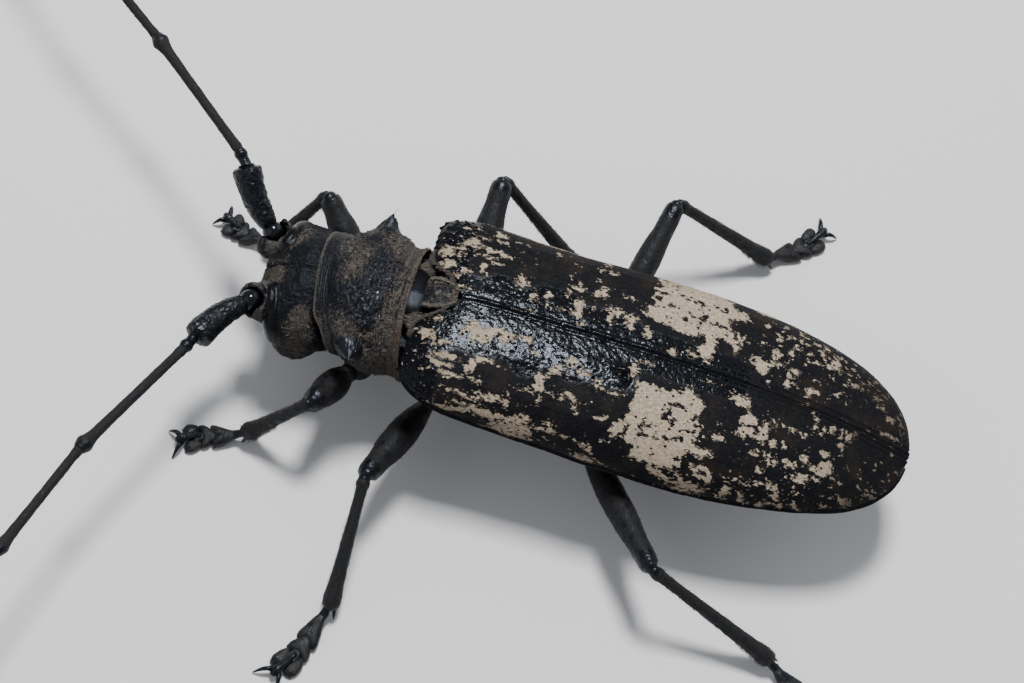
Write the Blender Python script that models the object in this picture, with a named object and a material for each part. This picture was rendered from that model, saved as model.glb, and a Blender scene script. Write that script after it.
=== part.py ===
"""A large longhorn beetle with grey marks on black, standing still on its six feet.

The body is laid out in millimetres: +X is the beetle's left, +Y runs to its tail, +Z is up,
the floor is at height 0 and the tip of the scutellum is near the place (0, 0).
The finished model is in metres and is moved so that the middle of its box is over the origin.
"""

import bisect
import math

import bmesh
import bpy
from mathutils import Vector

MM = 0.001
GAP = 0.3
HOLLOW_GAP = 0.36
END_ROUND, END_NARROW = 0.85, 0.45
SHARP_ANGLE = 40
LEFT, RIGHT = 1, -1
SIDES = (("left", LEFT), ("right", RIGHT))

# Wing cases: half width, height of the crest and height of the outer edge along the body
ELYTRA_LENGTH = 35.4
ELYTRA_THICK = 0.6
ELYTRA_POWER = 2.45
SUTURE_HALF = 0.15
HALF_WIDTH = (
    (-1.1, 6.05), (-0.8, 6.65), (-0.2, 7.05), (0.8, 7.4), (2.5, 7.65), (9.0, 7.65), (14.0, 7.85),
    (19.0, 7.85), (24.0, 7.5), (28.0, 6.8), (31.0, 5.9), (33.2, 4.65), (34.6, 3.1), (35.2, 1.8),
    (35.4, 1.0),
)
CREST = (
    (-1.1, 12.0), (-0.6, 12.4), (0.4, 12.75), (2.0, 13.0), (5.0, 13.1), (10.0, 13.1), (15.0, 13.0),
    (20.5, 12.65), (24.5, 12.15), (28.4, 11.4), (32.5, 10.1), (35.4, 8.9),
)
EDGE = (
    (-1.1, 11.0), (0.0, 10.5), (2.0, 9.9), (5.0, 9.3), (9.0, 8.9), (14.0, 8.65), (20.0, 8.5),
    (26.0, 8.55), (35.4, 8.35),
)
BELLY = ((-2.0, 4.6), (3.0, 4.3), (8.0, 4.15), (13.0, 4.25), (20.0, 4.6), (28.0, 5.5), (33.9, 7.2))
BELLY_POWER = 2.2
UNDER_WINGS = ELYTRA_THICK + 0.45
OUTER_POINTS, INNER_POINTS = 11, 8
ELYTRA_STEPS = (
    -1.1, -0.8, -0.3, 0.4, 1.4, 3.0, 6.0, 10.0, 14.0, 18.0, 22.0, 25.0, 28.0, 30.2, 31.8, 33.1,
    34.1, 34.8, 35.2, 35.4,
)
ROOT_HOLLOW, ROOT_FADE, ROOT_SHOULDER = 1.9, 4.0, 2.8

# Scutellum, a rounded tongue between the roots of the wing cases
SCUTELLUM_HALF = ((-1.0, 1.15), (-0.4, 1.25), (0.4, 1.1), (0.9, 0.8), (1.2, 0.5), (1.35, 0.2))
SCUTELLUM_TOP = ((-1.0, 12.35), (0.0, 12.75), (1.35, 12.95))
SCUTELLUM_THICK = 0.6
SCUTELLUM_POWER, SCUTELLUM_SIDES = 2.6, 14

# Where the trunk is parted, behind the pronotum
MESO_REAR, META_REAR, ABDOMEN_END = 2.6, 12.6, 33.9
TRUNK_SIDES = 20
MESO_NECK = ((0.0, 1.0, 2.0), (0.6, 0.75, 1.8), (1.5, 0.4, 1.4), (2.65, 0.0, 0.7))
META_SHARES = (0.0, 0.2, 0.45, 0.7, 0.88, 1.0)
ABDOMEN_SHARES = (0.0, 0.14, 0.28, 0.42, 0.56, 0.7, 0.81, 0.9, 0.96, 1.0)

# Pronotum: along its top line
PRONOTUM_FRONT, PRONOTUM_REAR = -8.9, -2.25
PRONOTUM_TOP = (
    (-8.9, 11.1), (-8.1, 11.5), (-7.2, 12.05), (-5.6, 12.5), (-3.8, 12.5), (-3.0, 12.25), (-2.25, 12.35),
)
PRONOTUM_HALF = (
    (-8.9, 4.4), (-8.3, 4.55), (-7.7, 4.45), (-6.6, 5.0), (-5.0, 5.3), (-3.8, 4.95), (-3.0, 4.65),
    (-2.25, 4.95),
)
PRONOTUM_DEEP = ((-8.9, 6.1), (-7.0, 7.2), (-5.0, 7.8), (-2.25, 8.0))
PRONOTUM_TILT = ((-8.9, 24.0), (-2.25, 12.0))
PRONOTUM_STEPS = (-8.9, -8.6, -8.1, -7.6, -6.9, -6.0, -5.0, -4.2, -3.5, -3.0, -2.6, -2.25)
SPINE_ROOT = Vector((4.1, -5.6, 9.3))
SPINE_TIP = Vector((6.2, -4.75, 10.9))
SPINE_RADIUS = 1.15
SPINE_MARKS = ((0.0, 1.15), (0.35, 1.0), (0.6, 0.55), (0.85, 0.2), (1.0, 0.06))
PRONOTUM_POWER, PRONOTUM_SIDES = 2.15, 24

# Head: level slices from the mouth to the crown
HEAD_LEVELS = (3.9, 4.4, 5.2, 6.2, 7.2, 8.1, 8.9, 9.6, 10.2, 10.65, 10.95)
FACE = (
    (3.9, -10.2), (4.6, -10.5), (6.0, -11.25), (7.6, -12.15), (8.9, -12.4), (9.9, -11.6), (10.6, -10.6),
    (10.95, -9.8),
)
HEAD_HALF = (
    (3.9, 2.3), (4.4, 2.6), (5.2, 3.2), (6.4, 4.2), (7.5, 4.85), (8.6, 4.75), (9.5, 4.1), (10.3, 2.95),
    (10.95, 1.6),
)
FACE_POWER, CHEEK_POWER, HEAD_SIDES = 2.3, 3.4, 22
SOCKET = Vector((2.92, -12.7, 9.15))
SOCKET_ROOT = Vector((2.1, -10.9, 8.3))
SOCKET_RADIUS = 1.5
SOCKET_MARKS = ((0.0, 1.1), (0.5, 1.08), (0.86, 0.96))
SCAPE_WAY, SCAPE_FLARE = 2.5, 1.3
CONDYLE_RADIUS = 0.75
EYE_PATH = (
    Vector((1.6, -11.4, 10.05)), Vector((2.5, -11.0, 9.9)), Vector((3.3, -10.85, 9.35)),
    Vector((3.8, -10.8, 8.45)), Vector((4.0, -10.95, 7.55)), Vector((3.7, -11.3, 6.8)),
)
EYE_HALF = (0.3, 0.4, 0.55, 0.8, 0.95, 0.6)
LIP_HALF, LIP_MIDDLE, LIP_THICK, LIP_DROP = 1.35, -10.05, 0.4, 0.95
LIP_STEPS = ((0.0, 0.85), (0.2, 1.0), (0.7, 1.0), (1.0, 0.8))
LIP_POWER, LIP_SIDES = 3.0, 12
MANDIBLE_PATH = (
    Vector((0.98, -8.85, 4.0)), Vector((1.02, -8.95, 3.2)), Vector((0.85, -9.2, 2.5)),
    Vector((0.42, -9.4, 2.0)),
)
MANDIBLE_RADII = (0.64, 0.6, 0.45, 0.2)
PALP_PATH = (
    Vector((2.1, -7.7, 3.75)), Vector((2.45, -8.1, 3.0)), Vector((2.35, -8.7, 2.4)),
    Vector((1.95, -9.2, 2.0)),
)
PALP_RADII = (0.3, 0.27, 0.28, 0.25)

# Legs: joints of each leg as (hip, knee, ankle, toe) and the sideways bend of its foot
FORE_HIP, MID_HIP, HIND_HIP = (2.5, -4.2, 3.5), (2.5, 2.0, 3.45), (2.3, 12.0, 3.4)
LEGS = (
    ("foreleg_left", LEFT, FORE_HIP, (8.7, -6.5, 7.8), (9.15, -10.6, 1.15), (11.3, -15.6), 0.3),
    ("foreleg_right", RIGHT, FORE_HIP, (-8.0, -9.9, 7.6), (-6.1, -13.3, 1.15), (-8.1, -17.5), -0.2),
    ("midleg_left", LEFT, MID_HIP, (12.4, -1.4, 6.5), (20.4, -1.2, 1.15), (26.7, -4.1), -0.35),
    ("midleg_right", RIGHT, MID_HIP, (-13.35, 2.1, 7.8), (-11.8, 9.3, 1.15), (-10.6, 15.6), 0.4),
    ("hindleg_left", LEFT, HIND_HIP, (13.35, 19.65, 7.0), (14.9, 30.0, 1.15), (18.9, 35.2), -0.3),
    ("hindleg_right", RIGHT, HIND_HIP, (-15.2, 15.0, 8.5), (-17.25, 23.3, 1.15), (-22.1, 27.4), 0.4),
)
HIP_RADIUS, HIP_ROOM = 1.15, 0.42
TROCHANTER_REACH, NECK_FLARE = 1.9, 1.25
FEMUR_RADII = ((0.0, 0.52), (0.12, 0.76), (0.35, 1.0), (0.6, 0.97), (0.83, 0.76), (0.94, 0.76), (1.0, 0.6))
FEMUR_STOUT = {"foreleg": 1.1, "midleg": 1.1, "hindleg": 1.0}
TIBIA_RADII = ((0.0, 0.44), (0.06, 0.5), (0.15, 0.42), (0.5, 0.46), (0.8, 0.54), (0.95, 0.66), (1.0, 0.5))
FEMUR_DEEPER = 1.15
KNEE_REACH, KNEE_SIDE = 0.35, 1.3
SPUR_LENGTH, SPUR_SPREAD = 0.85, 0.85
SPUR_RADII = ((0.0, 0.22), (0.6, 0.15), (1.0, 0.06))
FOOT_LENGTH = 6.3
FOOT_ROOM, FOOT_SIDES, FOOT_POWER = 0.45, 6, 2.5
FOOT = (
    (0.0, 0.34, 0.72, 1.3), (0.35, 0.48, 0.3, 1.25), (0.9, 0.66, -0.1, 1.08), (1.7, 0.92, -0.12, 0.98),
    (2.0, 0.52, -0.08, 0.78), (2.9, 0.98, -0.12, 0.86), (3.2, 0.56, -0.08, 0.7), (3.8, 0.64, -0.1, 0.72),
)
LOBE_MIDDLE, LOBE_SIDE, LOBE_SIZE = 4.0, 0.66, (0.85, 0.52, 0.46)
SOLE_CUT = 0.12
CLAW_SEGMENT = ((3.4, 0.62, 0.26), (4.4, 0.92, 0.27), (5.3, 0.78, 0.34), (5.6, 0.62, 0.3))
CLAW = ((5.35, 0.1, 0.6, 0.22), (5.85, 0.55, 0.72, 0.17), (6.2, 0.95, 0.5, 0.1), (6.35, 1.15, 0.14, 0.05))

# Feelers: length of each segment, its turn in plan and its height at the far end
SEGMENT_LENGTHS = (5.53, 0.8, 10.95, 9.6, 8.2, 7.2, 6.4, 5.8, 5.2, 4.6, 4.6)
SCAPE_RADII = ((0.0, 0.5), (0.12, 0.68), (0.38, 0.86), (0.7, 0.97), (0.95, 1.02), (1.0, 0.82))
SCAPE_STOP, SCAPE_BOW = 0.55, 0.3
SHAFT_RADII = (0.62, 0.42, 0.36, 0.34, 0.32, 0.31, 0.3, 0.29, 0.28, 0.27, 0.26)
KNOB_RADII = (0.98, 0.5, 0.64, 0.56, 0.48, 0.44, 0.4, 0.38, 0.36, 0.34, 0.16)
KNOB_SHARE, KNOB_END = 1.6, 0.7
SLIM_FROM, SHAFT_FLARE = 5, 1.15
PEDICEL_SHARES = (0.6, 0.9)
FEELERS = (
    ("antenna_left", LEFT,
     (33.1, 20.0, 23.4, 16.5, 10.0, 2.0, -7.0, -17.0, -28.0, -39.0, -51.0),
     (9.5, 9.6, 10.7, 11.55, 12.1, 12.3, 12.2, 11.7, 11.0, 10.1, 9.2)),
    ("antenna_right", RIGHT,
     (44.9, 45.7, 49.2, 53.0, 47.0, 39.0, 29.0, 18.0, 6.0, -6.0, -18.0),
     (11.95, 12.2, 12.3, 12.75, 12.9, 12.8, 12.4, 11.8, 11.0, 10.1, 9.2)),
)

COLOURS = {
    "cuticle": ((0.012, 0.012, 0.014), 0.42),
    "felted": ((0.07, 0.06, 0.045), 0.75),
    "elytra": ((0.06, 0.052, 0.045), 0.5),
    "eye": ((0.004, 0.004, 0.005), 0.12),
    "feeler": ((0.03, 0.03, 0.033), 0.6),
}


def slope_at(stations, k):
    """Slope of the smooth line at station k."""
    def rise(i):
        (x0, y0), (x1, y1) = stations[i], stations[i + 1]
        return (y1 - y0) / (x1 - x0)

    if k == 0:
        return rise(0)
    if k == len(stations) - 1:
        return rise(k - 1)
    before, after = rise(k - 1), rise(k)
    if before * after <= 0:
        return 0.0
    return 2 * before * after / (before + after)


def along(stations, at):
    """Value at a place on the smooth line through (place, value) stations."""
    places = [place for place, _ in stations]
    if at <= places[0]:
        return stations[0][1]
    if at >= places[-1]:
        return stations[-1][1]
    k = bisect.bisect_right(places, at) - 1
    (x0, y0), (x1, y1) = stations[k], stations[k + 1]
    width = x1 - x0
    t = (at - x0) / width
    return (
        y0 * (1 + 2 * t) * (1 - t) ** 2
        + slope_at(stations, k) * width * t * (1 - t) ** 2
        + y1 * t * t * (3 - 2 * t)
        + slope_at(stations, k + 1) * width * t * t * (t - 1)
    )


def smooth(share):
    """Eases from 0 to 1."""
    share = min(1.0, max(0.0, share))
    return share * share * (3 - 2 * share)


def side_point(side, place):
    """A place given for the left, on the side asked for."""
    return Vector((side * place[0], place[1], place[2]))


def power_curve(angle, power):
    """Point of a rounded square of half size 1 at an angle."""
    c, s = math.cos(angle), math.sin(angle)
    return (
        math.copysign(abs(c) ** (2 / power), c),
        math.copysign(abs(s) ** (2 / power), s),
    )


def material(name):
    """The Principled material of a colour group."""
    if name in bpy.data.materials:
        return bpy.data.materials[name]
    colour, roughness = COLOURS[name]
    made = bpy.data.materials.new(name)
    made.use_nodes = True
    shader = made.node_tree.nodes["Principled BSDF"]
    shader.inputs["Base Color"].default_value = (*colour, 1.0)
    shader.inputs["Roughness"].default_value = roughness
    shader.inputs["Metallic"].default_value = 0.0
    return made


def solid(name, rings):
    """A closed object lofted through rings of points, with a fan over each end."""
    bm = bmesh.new()
    loops = [[bm.verts.new(Vector(p) * MM) for p in ring] for ring in rings]
    for low, high in zip(loops, loops[1:]):
        for k in range(len(low)):
            after = (k + 1) % len(low)
            bm.faces.new((low[k], low[after], high[after], high[k]))
    for loop in (loops[0], loops[-1]):
        middle = bm.verts.new(sum((v.co for v in loop), Vector()) / len(loop))
        for k in range(len(loop)):
            bm.faces.new((loop[k], loop[(k + 1) % len(loop)], middle))
    bmesh.ops.recalc_face_normals(bm, faces=bm.faces)
    bmesh.ops.triangulate(bm, faces=bm.faces)
    mesh = bpy.data.meshes.new(name)
    bm.to_mesh(mesh)
    bm.free()
    made = bpy.data.objects.new(name, mesh)
    bpy.context.scene.collection.objects.link(made)
    return made


def ball(name, centre, size, steps=6, sides=8):
    """A closed ellipsoid about a centre, its poles along Z."""
    rings = []
    for k in range(1, steps):
        turn = math.pi * k / steps
        rings.append([
            (
                centre[0] + size[0] * math.sin(turn) * math.cos(math.tau * j / sides),
                centre[1] + size[1] * math.sin(turn) * math.sin(math.tau * j / sides),
                centre[2] - size[2] * math.cos(turn),
            )
            for j in range(sides)
        ])
    made = solid(name, rings)
    poles = sorted(made.data.vertices, key=lambda v: v.co.z)
    poles[0].co.z = (centre[2] - size[2]) * MM
    poles[-1].co.z = (centre[2] + size[2]) * MM
    return made


def frame_of(direction):
    """Unit vectors ahead, level sideways and upward for a direction."""
    ahead = Vector(direction).normalized()
    side = ahead.cross(Vector((0, 0, 1))).normalized()
    return ahead, side, side.cross(ahead)


def tube(name, centres, radii, sides=10, deeper=1.0):
    """A closed limb through centres with a radius at each, its ends rounded."""
    centres = [Vector(c) for c in centres]
    first, last = (centres[1] - centres[0]).normalized(), (centres[-1] - centres[-2]).normalized()
    spine = [(centres[0] - first * radii[0] * END_ROUND, radii[0] * END_NARROW, first)]
    for k, centre in enumerate(centres):
        ahead = centres[min(k + 1, len(centres) - 1)] - centres[max(k - 1, 0)]
        spine.append((centre, radii[k], ahead.normalized()))
    spine.append((centres[-1] + last * radii[-1] * END_ROUND, radii[-1] * END_NARROW, last))
    rings = []
    _, side, _ = frame_of(first)
    for centre, radius, ahead in spine:
        side = (side - ahead * side.dot(ahead)).normalized()
        up = side.cross(ahead)
        ring = []
        for k in range(sides):
            turn = math.tau * (k + 0.5) / sides
            ring.append(centre + side * radius * math.cos(turn) + up * radius * deeper * math.sin(turn))
        rings.append(ring)
    return solid(name, rings)


def largest_shell(mesh):
    """Keeps the largest closed surface of a mesh."""
    bm = bmesh.new()
    bm.from_mesh(mesh)
    bmesh.ops.triangulate(bm, faces=bm.faces)
    left, shells = set(bm.faces), []
    while left:
        queue = [left.pop()]
        shell = set(queue)
        while queue:
            for edge in queue.pop().edges:
                for face in edge.link_faces:
                    if face in left:
                        left.remove(face)
                        shell.add(face)
                        queue.append(face)
        shells.append(shell)

    def volume(shell):
        return sum(
            f.verts[0].co.dot(f.verts[1].co.cross(f.verts[2].co)) for f in shell
        )

    kept = max(shells, key=volume)
    bmesh.ops.delete(bm, geom=[f for f in bm.faces if f not in kept], context="FACES")
    bm.to_mesh(mesh)
    bm.free()


def combine(base, others, operation):
    """Joins closed objects to a base, or cuts them from it, in one Boolean."""
    group = bpy.data.collections.new("joined")
    for other in others:
        bpy.context.scene.collection.objects.unlink(other)
        group.objects.link(other)
    bpy.context.scene.collection.children.link(group)
    boolean = base.modifiers.new("join", "BOOLEAN")
    boolean.operation = operation
    boolean.operand_type = "COLLECTION"
    boolean.collection = group
    boolean.solver = "EXACT"
    mesh = bpy.data.meshes.new_from_object(
        base.evaluated_get(bpy.context.evaluated_depsgraph_get())
    )
    base.modifiers.clear()
    base.data = mesh
    for other in others:
        bpy.data.objects.remove(other)
    bpy.data.collections.remove(group)
    largest_shell(base.data)
    return base


def finish(made, colour, origin=(0.0, 0.0, 0.0)):
    """Puts the object's origin at a place, gives it its material and shades it."""
    shift = Vector(origin) * MM
    for vertex in made.data.vertices:
        vertex.co -= shift
    made.location = shift
    made.data.materials.clear()
    made.data.materials.append(material(colour))
    made.data.shade_smooth()
    made.data.set_sharp_from_angle(angle=math.radians(SHARP_ANGLE))
    made.parent = bpy.data.objects["beetle"]
    return made


def elytron_arc(y, inside, count):
    """Points of a wing case's section near y, from the suture to the outer edge.

    Towards the root the section bends back beside the scutellum.
    """
    bend = ROOT_HOLLOW * (1 - smooth((y - HALF_WIDTH[0][0]) / ROOT_FADE))
    half, inner = along(HALF_WIDTH, y), suture(y + bend)
    thick = min(ELYTRA_THICK, 0.35 * (half - inner), 0.45 * (along(CREST, y) - along(EDGE, y)))
    reach = half - thick * inside
    start = math.acos(min(1.0, inner / reach) ** (ELYTRA_POWER / 2))
    points = []
    for k in range(count):
        across, up = power_curve(start * (1 - k / (count - 1)), ELYTRA_POWER)
        x = reach * across
        back = y + bend * (1 - smooth((x - inner) / (ROOT_SHOULDER - inner)))
        crest, edge = along(CREST, back), along(EDGE, back)
        points.append((x, back, edge + (crest - edge - thick * inside) * up))
    return points


def suture(y):
    """Distance of a wing case's inner edge from the middle line."""
    end = SCUTELLUM_HALF[-1][0] + GAP / 2
    tongue = along(SCUTELLUM_HALF, y - GAP / 2) + HOLLOW_GAP
    return max(SUTURE_HALF, tongue - max(0.0, y - end))


def build_elytra():
    """The two wing cases, thin shells that meet along the suture."""
    for word, side in SIDES:
        rings = []
        for y in ELYTRA_STEPS:
            ring = elytron_arc(y, 0, OUTER_POINTS) + elytron_arc(y, 1, INNER_POINTS)[::-1]
            rings.append([(side * x, y, z) for x, y, z in ring])
        root = (side * SUTURE_HALF, SCUTELLUM_HALF[-1][0], CREST[0][1])
        finish(solid(f"elytron_{word}", rings), "elytra", root)


def build_scutellum():
    """The small tongue between the roots of the wing cases."""
    steps = [place for place, _ in SCUTELLUM_HALF]
    rings = []
    for y in steps:
        half, top = along(SCUTELLUM_HALF, y), along(SCUTELLUM_TOP, y)
        rise = SCUTELLUM_THICK / 2
        turns = [math.tau * k / SCUTELLUM_SIDES for k in range(SCUTELLUM_SIDES)]
        ring = [power_curve(turn, SCUTELLUM_POWER) for turn in turns]
        rings.append([(half * u, y, top - rise + rise * v) for u, v in ring])
    finish(solid("scutellum", rings), "felted", (0.0, SCUTELLUM_HALF[0][0], SCUTELLUM_TOP[0][1]))


def trunk_ring(y, lean=0.0, narrow=0.0):
    """Section of the trunk under the wing cases; lean tips it about its top by degrees."""
    half = along(HALF_WIDTH, max(y, MESO_REAR)) - UNDER_WINGS - narrow
    crest = along(CREST, y) - UNDER_WINGS
    edge, belly = along(EDGE, y), along(BELLY, y)
    edge = min(edge, crest - 0.1)
    ring = []
    for k in range(TRUNK_SIDES):
        turn = math.tau * (k + 0.5) / TRUNK_SIDES
        power = ELYTRA_POWER if math.sin(turn) > 0 else BELLY_POWER
        across, up = power_curve(turn, power)
        z = edge + up * ((crest - edge) if up > 0 else (edge - belly))
        ring.append((half * across, y + (crest - z) * math.tan(math.radians(lean)), z))
    return ring


def build_trunk():
    """Mesothorax, metathorax and abdomen under the wing cases."""
    front = PRONOTUM_REAR + GAP * 2
    meso = [
        trunk_ring(front + back, PRONOTUM_TILT[-1][1] * lean, narrow)
        for back, lean, narrow in MESO_NECK
    ]
    meso.append(trunk_ring(MESO_REAR))
    finish(
        combine(solid("mesothorax", meso), hip_cutters(MID_HIP), "DIFFERENCE"),
        "cuticle", (0.0, front, along(EDGE, front)),
    )
    for name, start, end, shares in (
        ("metathorax", MESO_REAR + GAP, META_REAR, META_SHARES),
        ("abdomen", META_REAR + GAP, ABDOMEN_END, ABDOMEN_SHARES),
    ):
        rings = [trunk_ring(start + share * (end - start)) for share in shares]
        made = combine(solid(name, rings), hip_cutters(HIND_HIP), "DIFFERENCE")
        finish(made, "cuticle", (0.0, start, along(EDGE, start)))


def hip_cutters(hip):
    """Two balls that hollow the trunk for a pair of hips."""
    reach = HIP_RADIUS + HIP_ROOM
    return [ball("hollow", side_point(side, hip), (reach,) * 3) for _, side in SIDES]


def build_pronotum():
    """The barrel behind the head, with a spine on each side."""
    rings = []
    for y in PRONOTUM_STEPS:
        half, deep = along(PRONOTUM_HALF, y), along(PRONOTUM_DEEP, y) / 2
        tilt = math.radians(along(PRONOTUM_TILT, y))
        up = Vector((0, -math.sin(tilt), math.cos(tilt)))
        middle = Vector((0, y, along(PRONOTUM_TOP, y))) - up * deep
        ring = []
        for k in range(PRONOTUM_SIDES):
            u, v = power_curve(math.tau * (k + 0.5) / PRONOTUM_SIDES, PRONOTUM_POWER)
            ring.append(middle + Vector((half * u, 0, 0)) + up * deep * v)
        rings.append(ring)
    base = solid("pronotum", rings)
    spines = []
    for _, side in SIDES:
        root, tip = side_point(side, SPINE_ROOT), side_point(side, SPINE_TIP)
        spines.append(limb("spine", root, tip, [(t, SPINE_RADIUS * r) for t, r in SPINE_MARKS], sides=8))
    combine(base, spines, "UNION")
    combine(base, hip_cutters(FORE_HIP), "DIFFERENCE")
    finish(base, "felted", (0.0, PRONOTUM_REAR, SPINE_ROOT.z))


def head_back(z):
    """How far back the head reaches at a height, just in front of the pronotum."""
    tilt = math.radians(PRONOTUM_TILT[0][1])
    return PRONOTUM_FRONT - GAP / math.cos(tilt) + (PRONOTUM_TOP[0][1] - z) * math.tan(tilt)


def eye_tube(side, grow):
    """A kidney-shaped eye that wraps the feeler's root, or its hollow where grow is set."""
    centres = [side_point(side, p) for p in EYE_PATH]
    return tube("eye", centres, [r + grow for r in EYE_HALF])


def build_head():
    """Head capsule with raised feeler sockets, and its mouthparts and eyes."""
    rings = []
    for z in HEAD_LEVELS:
        front, back, half = along(FACE, z), head_back(z), along(HEAD_HALF, z)
        middle, deep = (front + back) / 2, (back - front) / 2
        ring = []
        for k in range(HEAD_SIDES):
            turn = math.tau * (k + 0.5) / HEAD_SIDES
            u, v = power_curve(turn, CHEEK_POWER if math.sin(turn) > 0 else FACE_POWER)
            ring.append((half * u, middle + deep * v, z))
        rings.append(ring)
    base = solid("head", rings)
    raised, hollows = [], []
    for (_, side), joints in zip(SIDES, [feeler_joints(*feeler[1:]) for feeler in FEELERS]):
        root, rim = side_point(side, SOCKET_ROOT), side_point(side, SOCKET)
        raised.append(limb("socket", root, rim, [(t, SOCKET_RADIUS * r) for t, r in SOCKET_MARKS], sides=12))
        hollows.append(ball("cup", rim, (CONDYLE_RADIUS + HOLLOW_GAP,) * 3, steps=7, sides=10))
        way = (joints[1] - joints[0]).normalized() * SCAPE_WAY
        wide = SCAPE_RADII[1][1] + HOLLOW_GAP
        hollows.append(tube("way", (rim, rim + way), (wide, wide * SCAPE_FLARE), sides=8))
        hollows.append(eye_tube(side, HOLLOW_GAP))
    combine(base, raised, "UNION")
    combine(base, hollows, "DIFFERENCE")
    finish(base, "felted", (0.0, head_back(SOCKET_ROOT.z), SOCKET_ROOT.z))
    for word, side in SIDES:
        eye = eye_tube(side, 0.0)
        eye.name = f"eye_{word}"
        finish(eye, "eye", (side * EYE_PATH[3].x, EYE_PATH[3].y, EYE_PATH[3].z))
    build_mouth()


def build_mouth():
    """Upper lip, jaws and palps, which hang from the front of the head."""
    top = HEAD_LEVELS[0] - HOLLOW_GAP
    rings = []
    for drop, share in LIP_STEPS:
        turns = [math.tau * (k + 0.5) / LIP_SIDES for k in range(LIP_SIDES)]
        ring = [power_curve(turn, LIP_POWER) for turn in turns]
        rings.append([
            (LIP_HALF * share * u, LIP_MIDDLE + LIP_THICK / 2 * v, top - LIP_DROP * drop) for u, v in ring
        ])
    finish(solid("labrum", rings), "cuticle", (0.0, LIP_MIDDLE, top))
    for word, side in SIDES:
        for part, path, radii in (
            ("mandible", MANDIBLE_PATH, MANDIBLE_RADII), ("palp", PALP_PATH, PALP_RADII),
        ):
            centres = [side_point(side, p) for p in path]
            lift = top - radii[0] * END_ROUND - centres[0].z
            centres = [c + Vector((0, 0, lift)) for c in centres]
            made = tube(f"{part}_{word}", centres, radii, sides=8)
            finish(made, "cuticle", centres[0])


def setback(before, joint, after, reach, room):
    """How far a limb starts past its joint to stay clear of the one before.

    The limb before ends short of the joint by reach, and room is the least
    distance between the middle lines of the two.
    """
    bend = (before - joint).angle(after - joint)
    beside = room / math.sin(bend)
    if beside * math.cos(bend) > reach:
        return beside
    return reach * math.cos(bend) + math.sqrt(room ** 2 - (reach * math.sin(bend)) ** 2)


def limb(name, start, end, stations, **shape):
    """A limb between two points with (share, radius) stations."""
    centres = [start.lerp(end, t) for t, _ in stations]
    return tube(name, centres, [r for _, r in stations], **shape)


def build_leg(name, side, hip, knee, ankle, toe, foot_bow):
    """Hip, thigh, shin and foot of one leg."""
    hip, knee, ankle = side_point(side, hip), Vector(knee), Vector(ankle)
    out = (knee - hip).normalized()
    joint = hip + out * TROCHANTER_REACH
    stout = FEMUR_STOUT[name.split("_")[0]]
    femur_radii = [(share, radius * stout) for share, radius in FEMUR_RADII]
    ring_radius = femur_radii[0][1]
    thigh_root = joint + out * (2 * ring_radius * END_ROUND + GAP)
    hip_ball = ball(f"{name}_coxa", hip, (HIP_RADIUS,) * 3)
    neck = tube("neck", (hip, joint), (ring_radius * NECK_FLARE, ring_radius), sides=8)
    finish(combine(hip_ball, [neck], "UNION"), "cuticle", hip)

    room = femur_radii[-1][1] * KNEE_SIDE + TIBIA_RADII[0][1] + GAP
    knee_back = setback(hip, knee, ankle, KNEE_REACH, room)
    thigh_end = knee - out * KNEE_REACH
    thigh = limb(f"{name}_femur", thigh_root, thigh_end, femur_radii, deeper=FEMUR_DEEPER)
    finish(thigh, "cuticle", thigh_root)

    down = (ankle - knee).normalized()
    shin_start = knee + down * knee_back
    shin = limb(f"{name}_tibia", shin_start, ankle, TIBIA_RADII, sides=8)
    _, across, _ = frame_of(down)
    extras = []
    for turn in (-SPUR_SPREAD, SPUR_SPREAD):
        lean = (down + across * turn).normalized()
        extras.append(limb("spur", ankle, ankle + lean * SPUR_LENGTH, SPUR_RADII, sides=4))
    finish(combine(shin, extras, "UNION"), "cuticle", shin_start)
    build_foot(name, ankle, Vector((*toe, 0.0)), foot_bow)


def build_foot(name, ankle, toe, bow):
    """Four foot segments flat on the floor, the third with two lobes, and two claws."""
    level = Vector((toe.x - ankle.x, toe.y - ankle.y, 0.0))
    room = TIBIA_RADII[-2][1] + FOOT_ROOM
    scale = (level.length - room) / FOOT_LENGTH
    ahead = level.normalized()
    side = Vector((ahead.y, -ahead.x, 0.0))
    start = Vector((ankle.x, ankle.y, 0.0)) + ahead * room

    def at(s, across, height):
        across += bow * math.sin(math.pi * s / FOOT_LENGTH)
        return start + ahead * s * scale + side * across + Vector((0, 0, height))

    rings = []
    for s, half, low, high in FOOT:
        middle, rise = (low + high) / 2, (high - low) / 2
        ring = []
        for k in range(FOOT_SIDES):
            u, v = power_curve(math.tau * k / FOOT_SIDES, FOOT_POWER)
            ring.append(at(s, half * u, middle + rise * v))
        rings.append(ring)
    base = solid(f"{name}_tarsus", rings)
    extras = []
    for _, turn in SIDES:
        lobe = ball("lobe", (0.0, 0.0, LOBE_SIZE[2] - SOLE_CUT), LOBE_SIZE, steps=4, sides=6)
        for vertex in lobe.data.vertices:
            s, across, height = vertex.co / MM
            vertex.co = at(LOBE_MIDDLE + s, turn * LOBE_SIDE + across, height) * MM
        extras.append(lobe)
        claw = [at(s, turn * across, height) for s, across, height, _ in CLAW]
        extras.append(tube("claw", claw, [r for *_, r in CLAW], sides=4))
    toe_line = [at(s, 0.0, height) for s, height, _ in CLAW_SEGMENT]
    extras.append(tube("toe", toe_line, [r for *_, r in CLAW_SEGMENT], sides=5))
    combine(base, extras, "UNION")
    finish(combine(base, [below_floor(start)], "DIFFERENCE"), "cuticle", start)


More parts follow.
